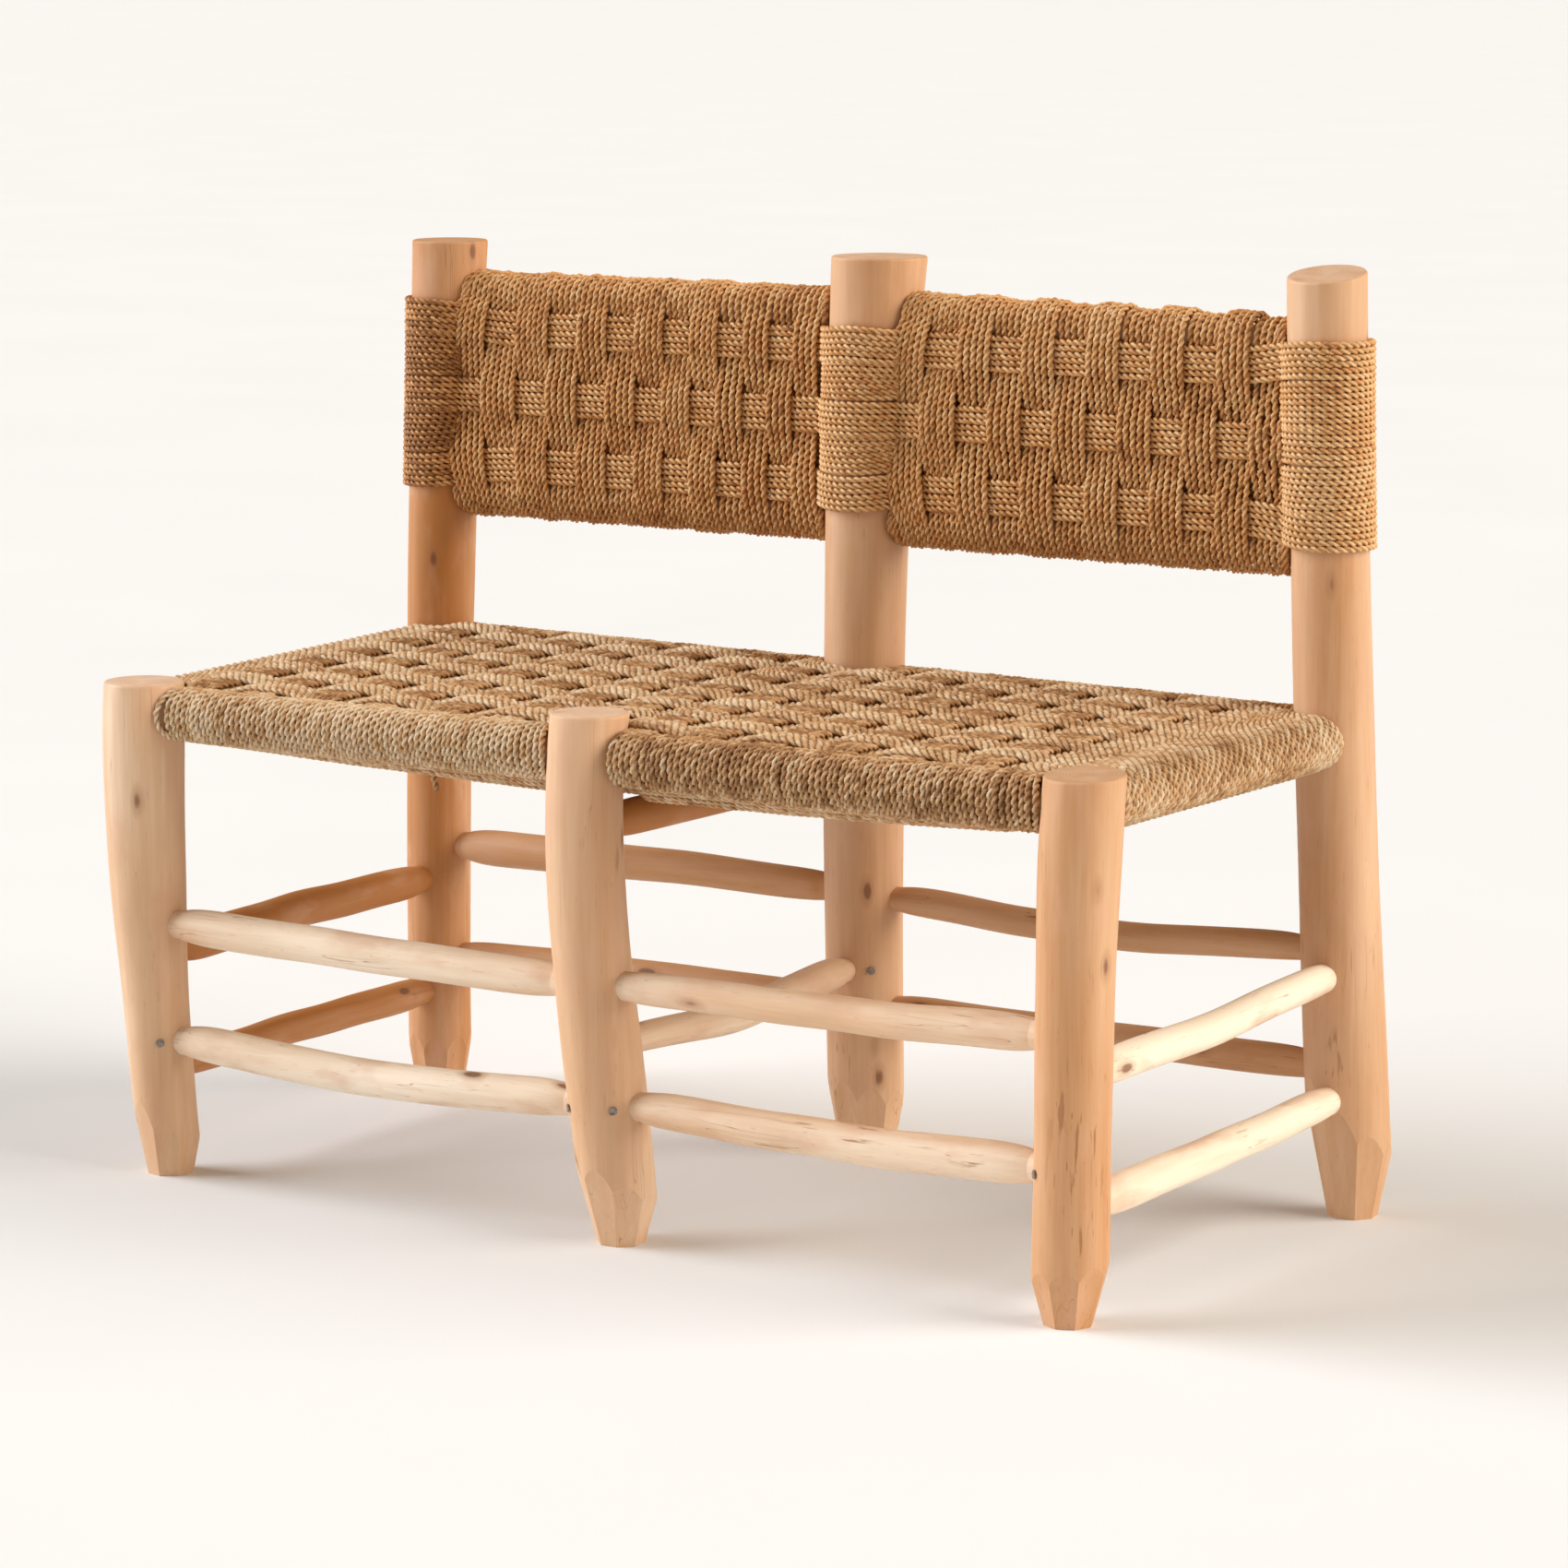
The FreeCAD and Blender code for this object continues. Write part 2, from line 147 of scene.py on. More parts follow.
def feed(shader, **inputs):
    """Joins values to the shader's inputs, which are named with _ for a space."""
    for name, value in inputs.items():
        shader.id_data.links.new(value.socket, shader.inputs[name.replace("_", " ")])


SIDEWAYS, BACKWARDS, UPWARDS = range(3)
WOOD_STOPS = ((0.0, (0.92, 0.79, 0.63)), (0.4, (0.73, 0.48, 0.295)), (1.0, (0.50, 0.20, 0.048)))
END_STOPS = ((0.0, (0.82, 0.62, 0.48)), (1.0, (0.52, 0.30, 0.165)))
BLUSH = (0.66, 0.37, 0.225)
STREAK_BROWN = (0.38, 0.17, 0.065)
KNOT_BROWN = (0.18, 0.065, 0.022)
# Sizes of the wood's patterns across and along its grain.
BROAD_GRAIN = (0.05, 0.30)
BAND_GRAIN = (0.008, 0.20)
FIBRE_GRAIN = (0.0016, 0.05)
KNIFE_FLATS = (0.022, 0.13)
BLUSH_PATCHES = (0.030, 0.07)
BARK_PATCHES = (0.06, 0.16)
BARK_STREAKS = (0.006, 0.05)
BARK_FLECKS = (0.003, 0.020)
HAIR_CRACKS = (0.012, 0.35)
CRACK_PATCHES = (0.05, 0.12)
KNOT_CELLS = (0.046, 0.105)
RING_WOBBLE = (0.02, 0.02)
# How much each pattern changes the tone.
BROAD_TONE = 0.7
BAND_TONE = 0.30
FIBRE_TONE = 0.16
# The values between which a mark comes up out of its pattern, and how strong it gets.
BLUSH_RISE, BLUSH_STRENGTH = (0.50, 0.70), 0.45
BARK_RISE, BARK_STRENGTH = (0.58, 0.66), 0.85
FLECK_RISE, FLECK_STRENGTH = (0.66, 0.72), 0.6
CRACK_RISE, CRACK_STRENGTH = (0.56, 0.64), 0.6
HALO_RISE, HALO_STRENGTH = (0.19, 0.08), 0.40
KNOT_RISE, KNOT_STRENGTH = (0.10, 0.055), 0.80
SAWN_RISE, SAWN_STRENGTH = (0.80, 0.95), 0.85
CRACK_EDGE = (0.005, 0.001)
BARK_START = 0.64
BARK_GAIN = 0.12
BARK_SOFTNESS = 0.08
BARE_FLECKS = 0.3
CLEAN_TOP = (0.03, 0.10)
KNOT_WAVER = 0.09
GROWTH_RING = 0.002618
RING_WAVER = 9
RING_CONTRAST = 0.14
END_WARMTH = 2.4
END_PALENESS = 1.3
WOOD_RELIEF = 0.0016
TOP_SLICE = 0.01


def sawn_top(place, from_heart, seed, warmth, colour):
    """Colour of an upright pole, with growth rings in another tone on its sawn top."""
    facing = place.node("NewGeometry", {}, {}, "Normal")
    level = facing.vector("DOT_PRODUCT", (0, 0, 1), "Value")
    radius = from_heart.vector("MULTIPLY", (1, 1, 0)).vector("LENGTH", output="Value")
    wobble = place.grain(RING_WOBBLE, UPWARDS, seed)
    rings = place.maths("SINE", radius * (2 * math.pi / GROWTH_RING) + wobble * RING_WAVER)
    end_tone = rings * RING_CONTRAST + wobble + warmth * END_WARMTH - END_PALENESS
    return (level.rise(*SAWN_RISE) * SAWN_STRENGTH).mix(colour, end_tone.ramp(END_STOPS))


def peeled_wood(name, axis, centre, seed, warmth, streaks):
    """Bare peeled wood that grew along one axis round a centre; warmth 0 is cream, 1 orange."""
    material, shader, place = new_finish(name)
    broad = place.grain(BROAD_GRAIN, axis, seed)
    bands = place.grain(BAND_GRAIN, axis, seed + 1)
    fibres = place.grain(FIBRE_GRAIN, axis, seed + 2, detail=5.0)
    flats = place.grain(KNIFE_FLATS, axis, seed + 3, detail=1.0)
    tone = (broad - 0.5) * BROAD_TONE + (bands - 0.5) * BAND_TONE + (fibres - 0.5) * FIBRE_TONE + warmth
    blush = place.grain(BLUSH_PATCHES, axis, seed + 9).rise(*BLUSH_RISE) * BLUSH_STRENGTH
    colour = blush.mix(tone.ramp(WOOD_STOPS), BLUSH)

    start = BARK_START - BARK_GAIN * streaks
    patchy = place.grain(BARK_PATCHES, axis, seed + 4).rise(start, start + BARK_SOFTNESS)
    bark = place.grain(BARK_STREAKS, axis, seed + 5, detail=4.0).rise(*BARK_RISE) * patchy * BARK_STRENGTH
    flecks = place.grain(BARK_FLECKS, axis, seed + 10, detail=2.0).rise(*FLECK_RISE)
    bark = place.maths("MAXIMUM", bark, flecks * (BARE_FLECKS + patchy) * FLECK_STRENGTH)
    from_heart = place.vector("SUBTRACT", centre)
    if axis == UPWARDS:
        bark = bark * from_heart.vector("DOT_PRODUCT", (0, 0, -1), "Value").rise(*CLEAN_TOP)
    colour = bark.mix(colour, STREAK_BROWN)
    cracks = abs(place.grain(HAIR_CRACKS, axis, seed + 6, detail=2.0) - 0.5).rise(*CRACK_EDGE)
    cracks = cracks * place.grain(CRACK_PATCHES, axis, seed + 7).rise(*CRACK_RISE) * CRACK_STRENGTH
    colour = cracks.mix(colour, STREAK_BROWN)

    cells = place.drawn_out(KNOT_CELLS, axis, (3.1 * seed, seed, 1.7 * seed))
    from_knot = place.node("TexVoronoi", {}, {"Vector": cells, "Scale": 1.0}) + (bands - 0.5) * KNOT_WAVER
    halo = from_knot.rise(*HALO_RISE) * HALO_STRENGTH
    knot = from_knot.rise(*KNOT_RISE) * KNOT_STRENGTH
    colour = halo.mix(colour, STREAK_BROWN)
    colour = knot.mix(colour, KNOT_BROWN)
    if axis == UPWARDS:
        colour = sawn_top(place, from_heart, seed + 8, warmth, colour)

    roughness = 0.58 - (bands - 0.5) * 0.25 + bark * 0.15
    height = flats * 0.9 + bands * 0.2 + fibres * 0.10 - knot * 0.35 - bark * 0.15 - cracks * 0.3
    feed(shader, Base_Color=colour, Roughness=roughness, Normal=height.relief(0.7, WOOD_RELIEF))
    return material


def node_points(name):
    """All the points of a CAD node, in metres."""
    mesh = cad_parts[name].data
    points = np.empty(3 * len(mesh.vertices), np.float32)
    mesh.vertices.foreach_get("co", points)
    return points.reshape(-1, 3).astype(float)


def finish_node(name, material):
    """Gives a CAD node its material."""
    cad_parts[name].data.materials.clear()
    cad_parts[name].data.materials.append(material)


# Warmth of each pole's wood, and how much bark was left on it. The warmth is partly the wood's
# own tone and partly painted warm shade.
pole_looks = {
    "front_left_leg": (0.48, 0.2),
    "front_middle_leg": (0.50, 0.2),
    "front_right_leg": (0.73, 1.0),
    "rear_left_post": (0.90, 0.3),
    "rear_middle_post": (0.60, 0.3),
    "rear_right_post": (0.64, 0.3),
}
for seed, (name, (warmth, streaks)) in enumerate(pole_looks.items()):
    points = node_points(name)
    top = points[points[:, UPWARDS] > points[:, UPWARDS].max() - TOP_SLICE].mean(0)
    wood = peeled_wood("peeled_" + name, UPWARDS, tuple(top), 11.0 * seed + 3, warmth, streaks)
    finish_node(name, wood)


# Rails and stretchers. Round sticks of the same peeled wood, whittled down at both ends to the
# tenons that are driven into the poles. The ones in front and at the right are cream, the ones
# behind and at the left more orange, partly their own tone and partly painted warm shade.
STICK_STREAKS = 0.3
# Warmth by how a name starts, partly wood tone and partly painted warm shade; the last one
# takes every stick that is left.
stick_looks = {
    "front_stretcher_upper_right": 0.32,
    "front_stretcher_lower_right": 0.24,
    "front_stretcher": 0.14,
    "side_stretcher_upper_right": 0.0,
    "side_stretcher_lower_right": 0.05,
    "side_stretcher_upper_left": 1.0,
    "side_stretcher_lower_left": 1.0,
    "rear_stretcher": 0.66,
    "middle_stretcher": 0.32,
    # Painted shade: the middle seat rail is given the darkest orange for the shade under the seat.
    "middle_seat_rail": 1.1,
    "": 0.55,
}


def long_axis(points):
    """The axis that a stick runs along."""
    return int(np.argmax(np.ptp(points, axis=0)))


sticks = [name for name in sorted(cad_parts) if "rail" in name or "stretcher" in name]
for seed, name in enumerate(sticks):
    points = node_points(name)
    centre = tuple(points.mean(0))
    warmth = next(value for start, value in stick_looks.items() if name.startswith(start))
    wood = peeled_wood("peeled_" + name, long_axis(points), centre, 7.0 * seed + 90, warmth, STICK_STREAKS)
    finish_node(name, wood)


# Nails. Plain round-headed steel nails are driven through the poles into the lower tenons and
# hold them. Only their heads show, grey with some rust.
NAIL_GREY = (0.30, 0.29, 0.28)
RUST_BROWN = (0.20, 0.10, 0.05)
RUST_SPOTS = (0.002, 0.002)
RUST_RISE = (0.45, 0.65)
nail_finish, shader, place = new_finish("dull_nail_steel")
rust = place.grain(RUST_SPOTS, UPWARDS, 5.0).rise(*RUST_RISE)
feed(shader, Base_Color=rust.mix(NAIL_GREY, RUST_BROWN), Roughness=rust * 0.3 + 0.45,
     Metallic=1 - rust * 0.8)
finish_node("tenon_nails", nail_finish)


# Seat, ropes from side to side. The seat is woven from one kind of palm rope of two twisted plies.
# These ropes lie in twelve bundles of six, go round both side rails and come back underneath,
# and each bundle passes over one group of front-to-back ropes and under the next.
ROPE_LAY = 0.0142
RINGS_PER_LAY = 7
PLY_THICK = 0.00190
PLY_WIDE = 0.00190
PLY_OFFSET = 0.00108
ROPE_RADIUS = PLY_THICK + PLY_OFFSET
PLY_ANGLES = np.radians((-143, -71, 0, 71, 143))
PLY_POINTS = len(PLY_ANGLES)
RING_POINTS = 2 * PLY_POINTS
RING_FACES = 2 * (PLY_POINTS - 1)
RING_TURNS = np.tile(PLY_ANGLES, 2)
RING_SIDES = np.repeat((1, -1), PLY_POINTS)
RING = RING_SIDES * (PLY_OFFSET + PLY_THICK * np.cos(RING_TURNS) + 1j * PLY_WIDE * np.sin(RING_TURNS))
FACE_STARTS = np.array([point for point in range(RING_POINTS) if point % PLY_POINTS < PLY_POINTS - 1])
STRIP_SHAPE = 9.0
STRIP_MARGIN = 0.06
LEAVES_PER_METRE = 62
FIBRES_PER_METRE = 75
ROPE_PATCHES = (0.05, 0.05)
ROPE_RELIEF = 0.0007
# How far each cause moves a rope's colour from straw, 0, to brown, 1, and where the others lie.
LEAF_DYE = 2.4
TONE_DYE = 0.35
FIBRE_DYE = 0.7
PATCH_DYE = 0.7
STAIN_DYE = 0.52
PLAIN_DYE = 0.42
GREEN_AT = 0.3
TAN_AT = 0.55
# Painted shade in the grooves between a rope's plies, and the brightness that its fibres add.
GROOVE_SHADE = 0.38
LEAST_LIGHT = 0.80
FIBRE_LIGHT = 0.34
randoms = np.random.RandomState(20)


def rings_along(line, stain, closed):
    """Evenly spaced rings along a line: middles, the way it runs, distance, stain and twist."""
    stain = np.broadcast_to(stain, len(line))
    if closed:
        line = np.vstack([line, line[:1]])
        stain = np.append(stain, stain[0])
    steps = np.linalg.norm(np.diff(line, axis=0), axis=1)
    reached = np.concatenate([[0], np.cumsum(steps)])
    lays = max(1, round(reached[-1] / ROPE_LAY))
    distance = np.linspace(0, reached[-1], lays * RINGS_PER_LAY + 1)
    if closed:
        distance = distance[:-1]
    middle = np.stack([np.interp(distance, reached, line[:, i]) for i in range(3)], axis=1)
    if closed:
        way = np.roll(middle, -1, axis=0) - np.roll(middle, 1, axis=0)
    else:
        way = np.gradient(middle, axis=0)
    way /= np.linalg.norm(way, axis=1, keepdims=True)
    twist = 2 * math.pi * np.arange(len(middle)) / RINGS_PER_LAY
    return middle, way, distance, np.interp(distance, reached, stain), twist


def twisted_rope(rope, reference, start_turn):
    """Points of one rope, the three values its finish reads at each, and its faces' corners."""
    line, closed, tone, stain = rope
    middle, way, distance, stained, twist = rings_along(line, stain, closed)
    side = reference - way * (way @ reference)[:, None]
    side /= np.linalg.norm(side, axis=1, keepdims=True)
    other = np.cross(way, side)
    turned = RING[None, :] * np.exp(1j * (twist + start_turn))[:, None]
    offset = turned.real[:, :, None] * side[:, None, :] + turned.imag[:, :, None] * other[:, None, :]
    points = (middle[:, None, :] + offset).reshape(-1, 3)
    rings = len(middle)
    around = np.tile(RING_TURNS, rings)
    skin = np.stack([around, np.repeat(distance, RING_POINTS), np.full(len(points), tone)], axis=1)
    # How near each point lies to the groove between the plies, where the finish paints shade.
    groove = (around / PLY_ANGLES[-1]) ** 2
    yarn = np.stack([np.tile(RING_SIDES, rings), groove, np.zeros(len(points))], axis=1)
    start = RING_POINTS * np.arange(rings if closed else rings - 1)[:, None] + FACE_STARTS
    after = (start + RING_POINTS) % len(points)
    corners = np.stack([start, start + 1, after + 1, after], axis=2).reshape(-1, 4)
    return points, skin, yarn, np.repeat(stained, RING_POINTS), corners


def lay_out_strips(mesh, bands):
    """Unrolls the ropes into rows of strips that fill a square, for the baked finish."""
    per_row = max(1, round(math.sqrt(bands * STRIP_SHAPE)))
    rows = math.ceil(bands / per_row)
    band = np.repeat(np.arange(bands), RING_FACES)
    sector = np.tile(np.arange(RING_FACES), bands)
    u = (band % per_row)[:, None] + np.array([0, 0, 1, 1])[None, :]
    v = (sector[:, None] + np.array([0, 1, 1, 0])[None, :]) / RING_FACES
    v = (band // per_row)[:, None] + STRIP_MARGIN + (1 - 2 * STRIP_MARGIN) * v
    layer = mesh.uv_layers.new(name="OFBake")
    layer.data.foreach_set("uv", np.stack([u / per_row, v / rows], axis=2).astype(np.float32).ravel())


def rope_piece(name, ropes, reference, material, replaced, nested=False):
    """A mesh of several two-ply ropes, each a line, whether it closes, its tone and its stain.

    The reference direction is about square to all the lines and starts the twist. Nested ropes
    lie as they were laid, each a quarter turn on from its neighbour; others start at any turn.
    """
    made = []
    first = 0
    for number, rope in enumerate(ropes):
        start_turn = number % 2 * math.pi / 2 if nested else randoms.uniform(0, math.pi)
        *values, corners = twisted_rope(rope, reference, start_turn)
        made.append((*values, corners + first))
        first += len(values[0])
    points, skin, yarn, stain, corners = (np.concatenate(each) for each in zip(*made))
    mesh = bpy.data.meshes.new(name)
    mesh.vertices.add(len(points))
    mesh.vertices.foreach_set("co", points.astype(np.float32).ravel())
    mesh.loops.add(corners.size)
    mesh.loops.foreach_set("vertex_index", corners.astype(np.int32).ravel())
    mesh.polygons.add(len(corners))
    mesh.polygons.foreach_set("loop_start", np.arange(0, corners.size, 4, dtype=np.int32))
    read_by_finish = (("skin", "FLOAT_VECTOR", "vector", skin), ("yarn", "FLOAT_VECTOR", "vector", yarn),
                      ("stain", "FLOAT", "value", stain))
    for label, kind, field, values in read_by_finish:
        attribute = mesh.attributes.new(label, kind, "POINT")
        attribute.data.foreach_set(field, values.astype(np.float32).ravel())
    lay_out_strips(mesh, len(corners) // RING_FACES)
    mesh.update(calc_edges=True)
    mesh.shade_smooth()
    mesh.materials.append(material)
    piece = bpy.data.objects.new(name, mesh)
    bpy.context.scene.collection.objects.link(piece)
    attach(piece, "root")
    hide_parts(*replaced)


def rope_finish(name, straw, green, tan, brown):
    """Twisted palm leaf: every ply changes between straw, greenish, tan and brown along its way."""
    material, shader, place = new_finish(name)
    skin = place.node("Attribute", {"attribute_name": "skin"}, {}, "Vector")
    yarn = place.node("Attribute", {"attribute_name": "yarn"}, {}, "Vector")
    stain = place.node("Attribute", {"attribute_name": "stain"}, {}, "Fac")
    across, far, tone = (place.node("SeparateXYZ", {}, {"Vector": skin}, axis) for axis in "XYZ")
    ply, groove = (place.node("SeparateXYZ", {}, {"Vector": yarn}, axis) for axis in "XY")
    # Tone and ply move the noise on, so that no two ropes and no two plies look alike.
    leaf = place.node("CombineXYZ", {}, {"X": far * LEAVES_PER_METRE + tone * 91, "Y": ply * 3.7,
                                         "Z": tone * 40}).noise(3.0)
    fibre = place.node("CombineXYZ", {}, {"X": across * 3.2, "Y": far * FIBRES_PER_METRE,
                                          "Z": ply * 7 + tone * 50}).noise(4.0)
    patch = place.grain(ROPE_PATCHES, UPWARDS, 17.0)
    dyed = (leaf - 0.5) * LEAF_DYE + (tone - 0.5) * TONE_DYE + (fibre - 0.5) * FIBRE_DYE
    dyed = dyed + (patch - 0.5) * PATCH_DYE + stain * STAIN_DYE + PLAIN_DYE
    colour = dyed.ramp(((0.0, straw), (GREEN_AT, green), (TAN_AT, tan), (1.0, brown)))
    # Painted shade: darker towards the grooves between the plies; the fibres vary it at random.
    groove_shade_and_fibre_tone = (1 - groove * GROOVE_SHADE) * (LEAST_LIGHT + fibre * FIBRE_LIGHT)
    grey = place.node("CombineXYZ", {}, {"X": groove_shade_and_fibre_tone, "Y": groove_shade_and_fibre_tone, "Z": groove_shade_and_fibre_tone})
    feed(shader, Base_Color=place.blend("MULTIPLY", 1.0, colour, grey), Roughness=0.70 - fibre * 0.3,
         Normal=fibre.relief(0.6, ROPE_RELIEF))
    return material


END_SLICE = 0.0008
POLE_SLICE = 0.03
POLE_WAYS = 24
HALF_TURN_POINTS = 18
WAVES_PER_RUN = (3, 7, 15)
WAVE_HEIGHTS = (0.2, 1.0)
WAVE_FALL = 0.4


def rail_line(name):
    """Middles of a rail's two ends, the lower one along its length first."""
    points = node_points(name)
    along = points[:, long_axis(points)]
    return points[along < along.min() + END_SLICE].mean(0), points[along > along.max() - END_SLICE].mean(0)


def line_at(line, axis, value):
    """Points of a straight line where its coordinate along one axis has the given values."""
    low, high = line
    share = (np.asarray(value, float) - low[axis]) / (high[axis] - low[axis])
    return low + share[..., None] * (high - low)


def pole_round(name, z):
    """Middle and radius of a pole at a height, from its outermost points all round."""
    points = node_points(name)
    near = points[np.abs(points[:, UPWARDS] - z) < POLE_SLICE][:, :UPWARDS]
    turns = np.linspace(0, 2 * math.pi, POLE_WAYS, endpoint=False)
    ways = np.stack([np.cos(turns), np.sin(turns)], axis=1)
    reach = (near @ ways.T).max(0)
    system = np.column_stack([ways, np.ones(len(turns))])
    return np.linalg.lstsq(system, reach, rcond=None)[0]


def swell(x, middle, width):
    """A hump that is 1 at its middle and fades away over a width on both sides."""
    return np.exp(-((x - middle) / width) ** 2)


def ease(share):
    """Goes smoothly from 0 to 1 while the share does, and stays there."""
    share = np.clip(share, 0, 1)
    return share * share * (3 - 2 * share)


def broaden(wave):
    """The same wave from -1 to 1 with broader tops."""
    return wave * (1.5 - 0.5 * wave ** 2)


def outer(first, second, bend):
    """The larger of two curves, with a bend of that size where they cross."""
    return bend * np.logaddexp(first / bend, second / bend)


def slack(count, size):
    """Small irregular waves along a rope, other ones each time."""
    share = np.linspace(0, 1, count)
    total = np.zeros(count)
    for waves in WAVES_PER_RUN:
        height = randoms.uniform(*WAVE_HEIGHTS) / waves ** WAVE_FALL
        total += height * np.sin(2 * math.pi * (waves * share + randoms.uniform()))
    return size * total


def half_turn(start, end, way):
    """Points of a half circle from one point to another that bulges the given way."""
    turn = np.linspace(0, math.pi, HALF_TURN_POINTS)[1:-1, None]
    half = (start - end) / 2
    return (start + end) / 2 + np.cos(turn) * half + np.sin(turn) * np.linalg.norm(half) * way


def loop_of(forth, back, far_way, near_way):
    """A closed loop that runs forth, turns, runs back and turns again."""
    return np.concatenate([forth, half_turn(forth[-1], back[0], far_way), back,
                           half_turn(back[-1], forth[0], near_way)])


ALONG_X, ALONG_Y, ALONG_Z = np.eye(3)
SEAT_RAIL_RADIUS = 0.015
FIRST_LAYER = 0.0031
SEAT_TURN = SEAT_RAIL_RADIUS + FIRST_LAYER + ROPE_RADIUS
SEAT_HALF_WIDTH = 0.47
SEAT_Z = 0.41
SHOULDER = 0.0140
EDGE_BEND = 0.004
POLE_CLEARANCE = 1.2 * ROPE_RADIUS
SEAT_SAG = 0.013
SAG_REACH_FRONT = 0.025
SAG_REACH_REAR = 0.045
WEFT_BUNDLES = 12
BUNDLE_ROPES = 6
BUNDLE_CROWN = 0.0018
WEFT_LIFT = 0.0030
WEFT_PINCH = 0.12
WEFT_SWAY = 0.0005
WEFT_POINTS = 420
WEFT_LEFT_STAIN = -0.15
WEFT_RIGHT_STAIN = 0.15
WEFT_STAIN_REACH = 0.8
BUNDLE_MOODS = (0.0, 0.6)
ROPE_MOODS = (0.0, 0.4)
ROPE_RIPPLE = 0.0003
TAIL_POINTS = 12
TAIL_CURL = 0.3
TAIL_LEAN = 0.1
WARP_GROUPS = 13
GROUP_START = -0.418
GROUP_PITCH = 0.065
GROUP_STOP = GROUP_START + (WARP_GROUPS - 1) * GROUP_PITCH
PAST_GROUPS = 0.010
WEAVE_FADE = 0.034
left_rail = rail_line("left_seat_rail")
right_rail = rail_line("right_seat_rail")
front_rails = (rail_line("front_seat_rail_left"), rail_line("front_seat_rail_right"))
rear_rails = (rail_line("rear_seat_rail_left"), rail_line("rear_seat_rail_right"))
leg_names = ("front_left_leg", "front_middle_leg", "front_right_leg")
post_names = ("rear_left_post", "rear_middle_post", "rear_right_post")
front_poles = [pole_round(name, SEAT_Z) for name in leg_names]
rear_poles = [pole_round(name, SEAT_Z) for name in post_names]


def across_rails(rails, poles, x):
    """Points of a row of two rails that meet in the middle pole."""
    left, right = (line_at(rail, SIDEWAYS, x) for rail in rails)
    return np.where((x < poles[1][0])[..., None], left, right)


def seat_edge(x, rails, poles, inward):
    """Outermost place for a side-to-side rope: on the shoulder of the wraps and past the poles."""
    edge = inward * across_rails(rails, poles, x)[..., BACKWARDS] + SHOULDER
    for pole_x, pole_y, radius in poles:
        clear = radius + POLE_CLEARANCE
        past = inward * pole_y + np.sqrt(np.maximum(clear ** 2 - (x - pole_x) ** 2, 0))
        past = np.where(np.abs(x - pole_x) < clear, past, edge - clear)
        edge = outer(edge, past, EDGE_BEND)
    return inward * edge


def seat_edges(x):
    """Outermost places at the front and at the rear."""
    return seat_edge(x, front_rails, front_poles, 1), seat_edge(x, rear_rails, rear_poles, -1)


def seat_level(x, y):
    """Height of the plane through the side rails' axes."""
    low = line_at(left_rail, BACKWARDS, y)
    high = line_at(right_rail, BACKWARDS, y)
    share = (x - low[..., 0]) / (high[..., 0] - low[..., 0])
    return low[..., 2] + share * (high[..., 2] - low[..., 2])


def seat_sag(x, y, front, rear):
    """How far the lower ropes hang: most in the middle, not at all beside the rails."""
    free = ease(np.minimum((y - front) / SAG_REACH_FRONT, (rear - y) / SAG_REACH_REAR))
    return SEAT_SAG * np.maximum(1 - (x / SEAT_HALF_WIDTH) ** 2, 0) * free


def side_to_side(bundle, member, tone):
    """One rope over the top, round the right rail, back below and round the left rail."""
    ends = [line_at(rail, BACKWARDS, 0.0)[0] for rail in (left_rail, right_rail)]
    x = np.linspace(*ends, WEFT_POINTS)
    over = np.cos(math.pi * (x - GROUP_START) / GROUP_PITCH) * (1 if bundle % 2 else -1)
    inside = 1 - ease((np.maximum(GROUP_START - x, x - GROUP_STOP) - PAST_GROUPS) / WEAVE_FADE)
    over = broaden(over) * inside
    front, rear = seat_edges(x)
    centred = (member - (BUNDLE_ROPES - 1) / 2) / BUNDLE_ROPES
    share = (bundle + 0.5 + centred * (1 - WEFT_PINCH * over)) / WEFT_BUNDLES
    runs = []
    for side in (1, -1):
        if side < 0 and bundle == 0:
            over = inside
        y = front + share * (rear - front) + slack(WEFT_POINTS, WEFT_SWAY) * inside
        crown = BUNDLE_CROWN * (1 - (2 * centred) ** 2) * np.maximum(over, 0)
        off = SEAT_TURN + WEFT_LIFT * over + crown + slack(WEFT_POINTS, ROPE_RIPPLE) * inside
        z = seat_level(x, y) + side * off
        if side < 0:
            z = z - seat_sag(x, y, front, rear)
        runs.append(np.stack([x, y, z], axis=1))
    loop = loop_of(runs[0], runs[1][::-1], ALONG_X, -ALONG_X)
    to_right = ease((loop[:, 0] + SEAT_HALF_WIDTH) / WEFT_STAIN_REACH)
    return loop, True, tone, WEFT_LEFT_STAIN + (WEFT_RIGHT_STAIN - WEFT_LEFT_STAIN) * to_right


def loose_end(x, y, length):
    """A short end that was left hanging under the seat, curled to the right and leaning forward."""
    share = np.linspace(0, 1, TAIL_POINTS)
    top = seat_level(x, np.array(y)) - SEAT_TURN - 0.5 * SEAT_SAG
    curl = TAIL_CURL * length * share ** 2
    lean = TAIL_LEAN * length * share
    line = np.stack([x + curl, y - lean, top - length * share], axis=1)
    return line, False, 0.5, 0.0


seat_finish = rope_finish("seat_rope", straw=(0.93, 0.70, 0.46), green=(0.77, 0.55, 0.325),
                          tan=(0.73, 0.43, 0.20), brown=(0.37, 0.17, 0.055))
for bundle in range(WEFT_BUNDLES):
    mood = randoms.uniform(*BUNDLE_MOODS)
    ropes = []
    for member in range(BUNDLE_ROPES):
        ropes.append(side_to_side(bundle, member, mood + randoms.uniform(*ROPE_MOODS)))
    if bundle == 0:
        ropes.append(loose_end(x=-0.190, y=-0.183, length=0.022))
    rope_piece(f"seat_bundle_across_{bundle + 1}", ropes, ALONG_Y, seat_finish, ["seat_weave"],
               nested=True)
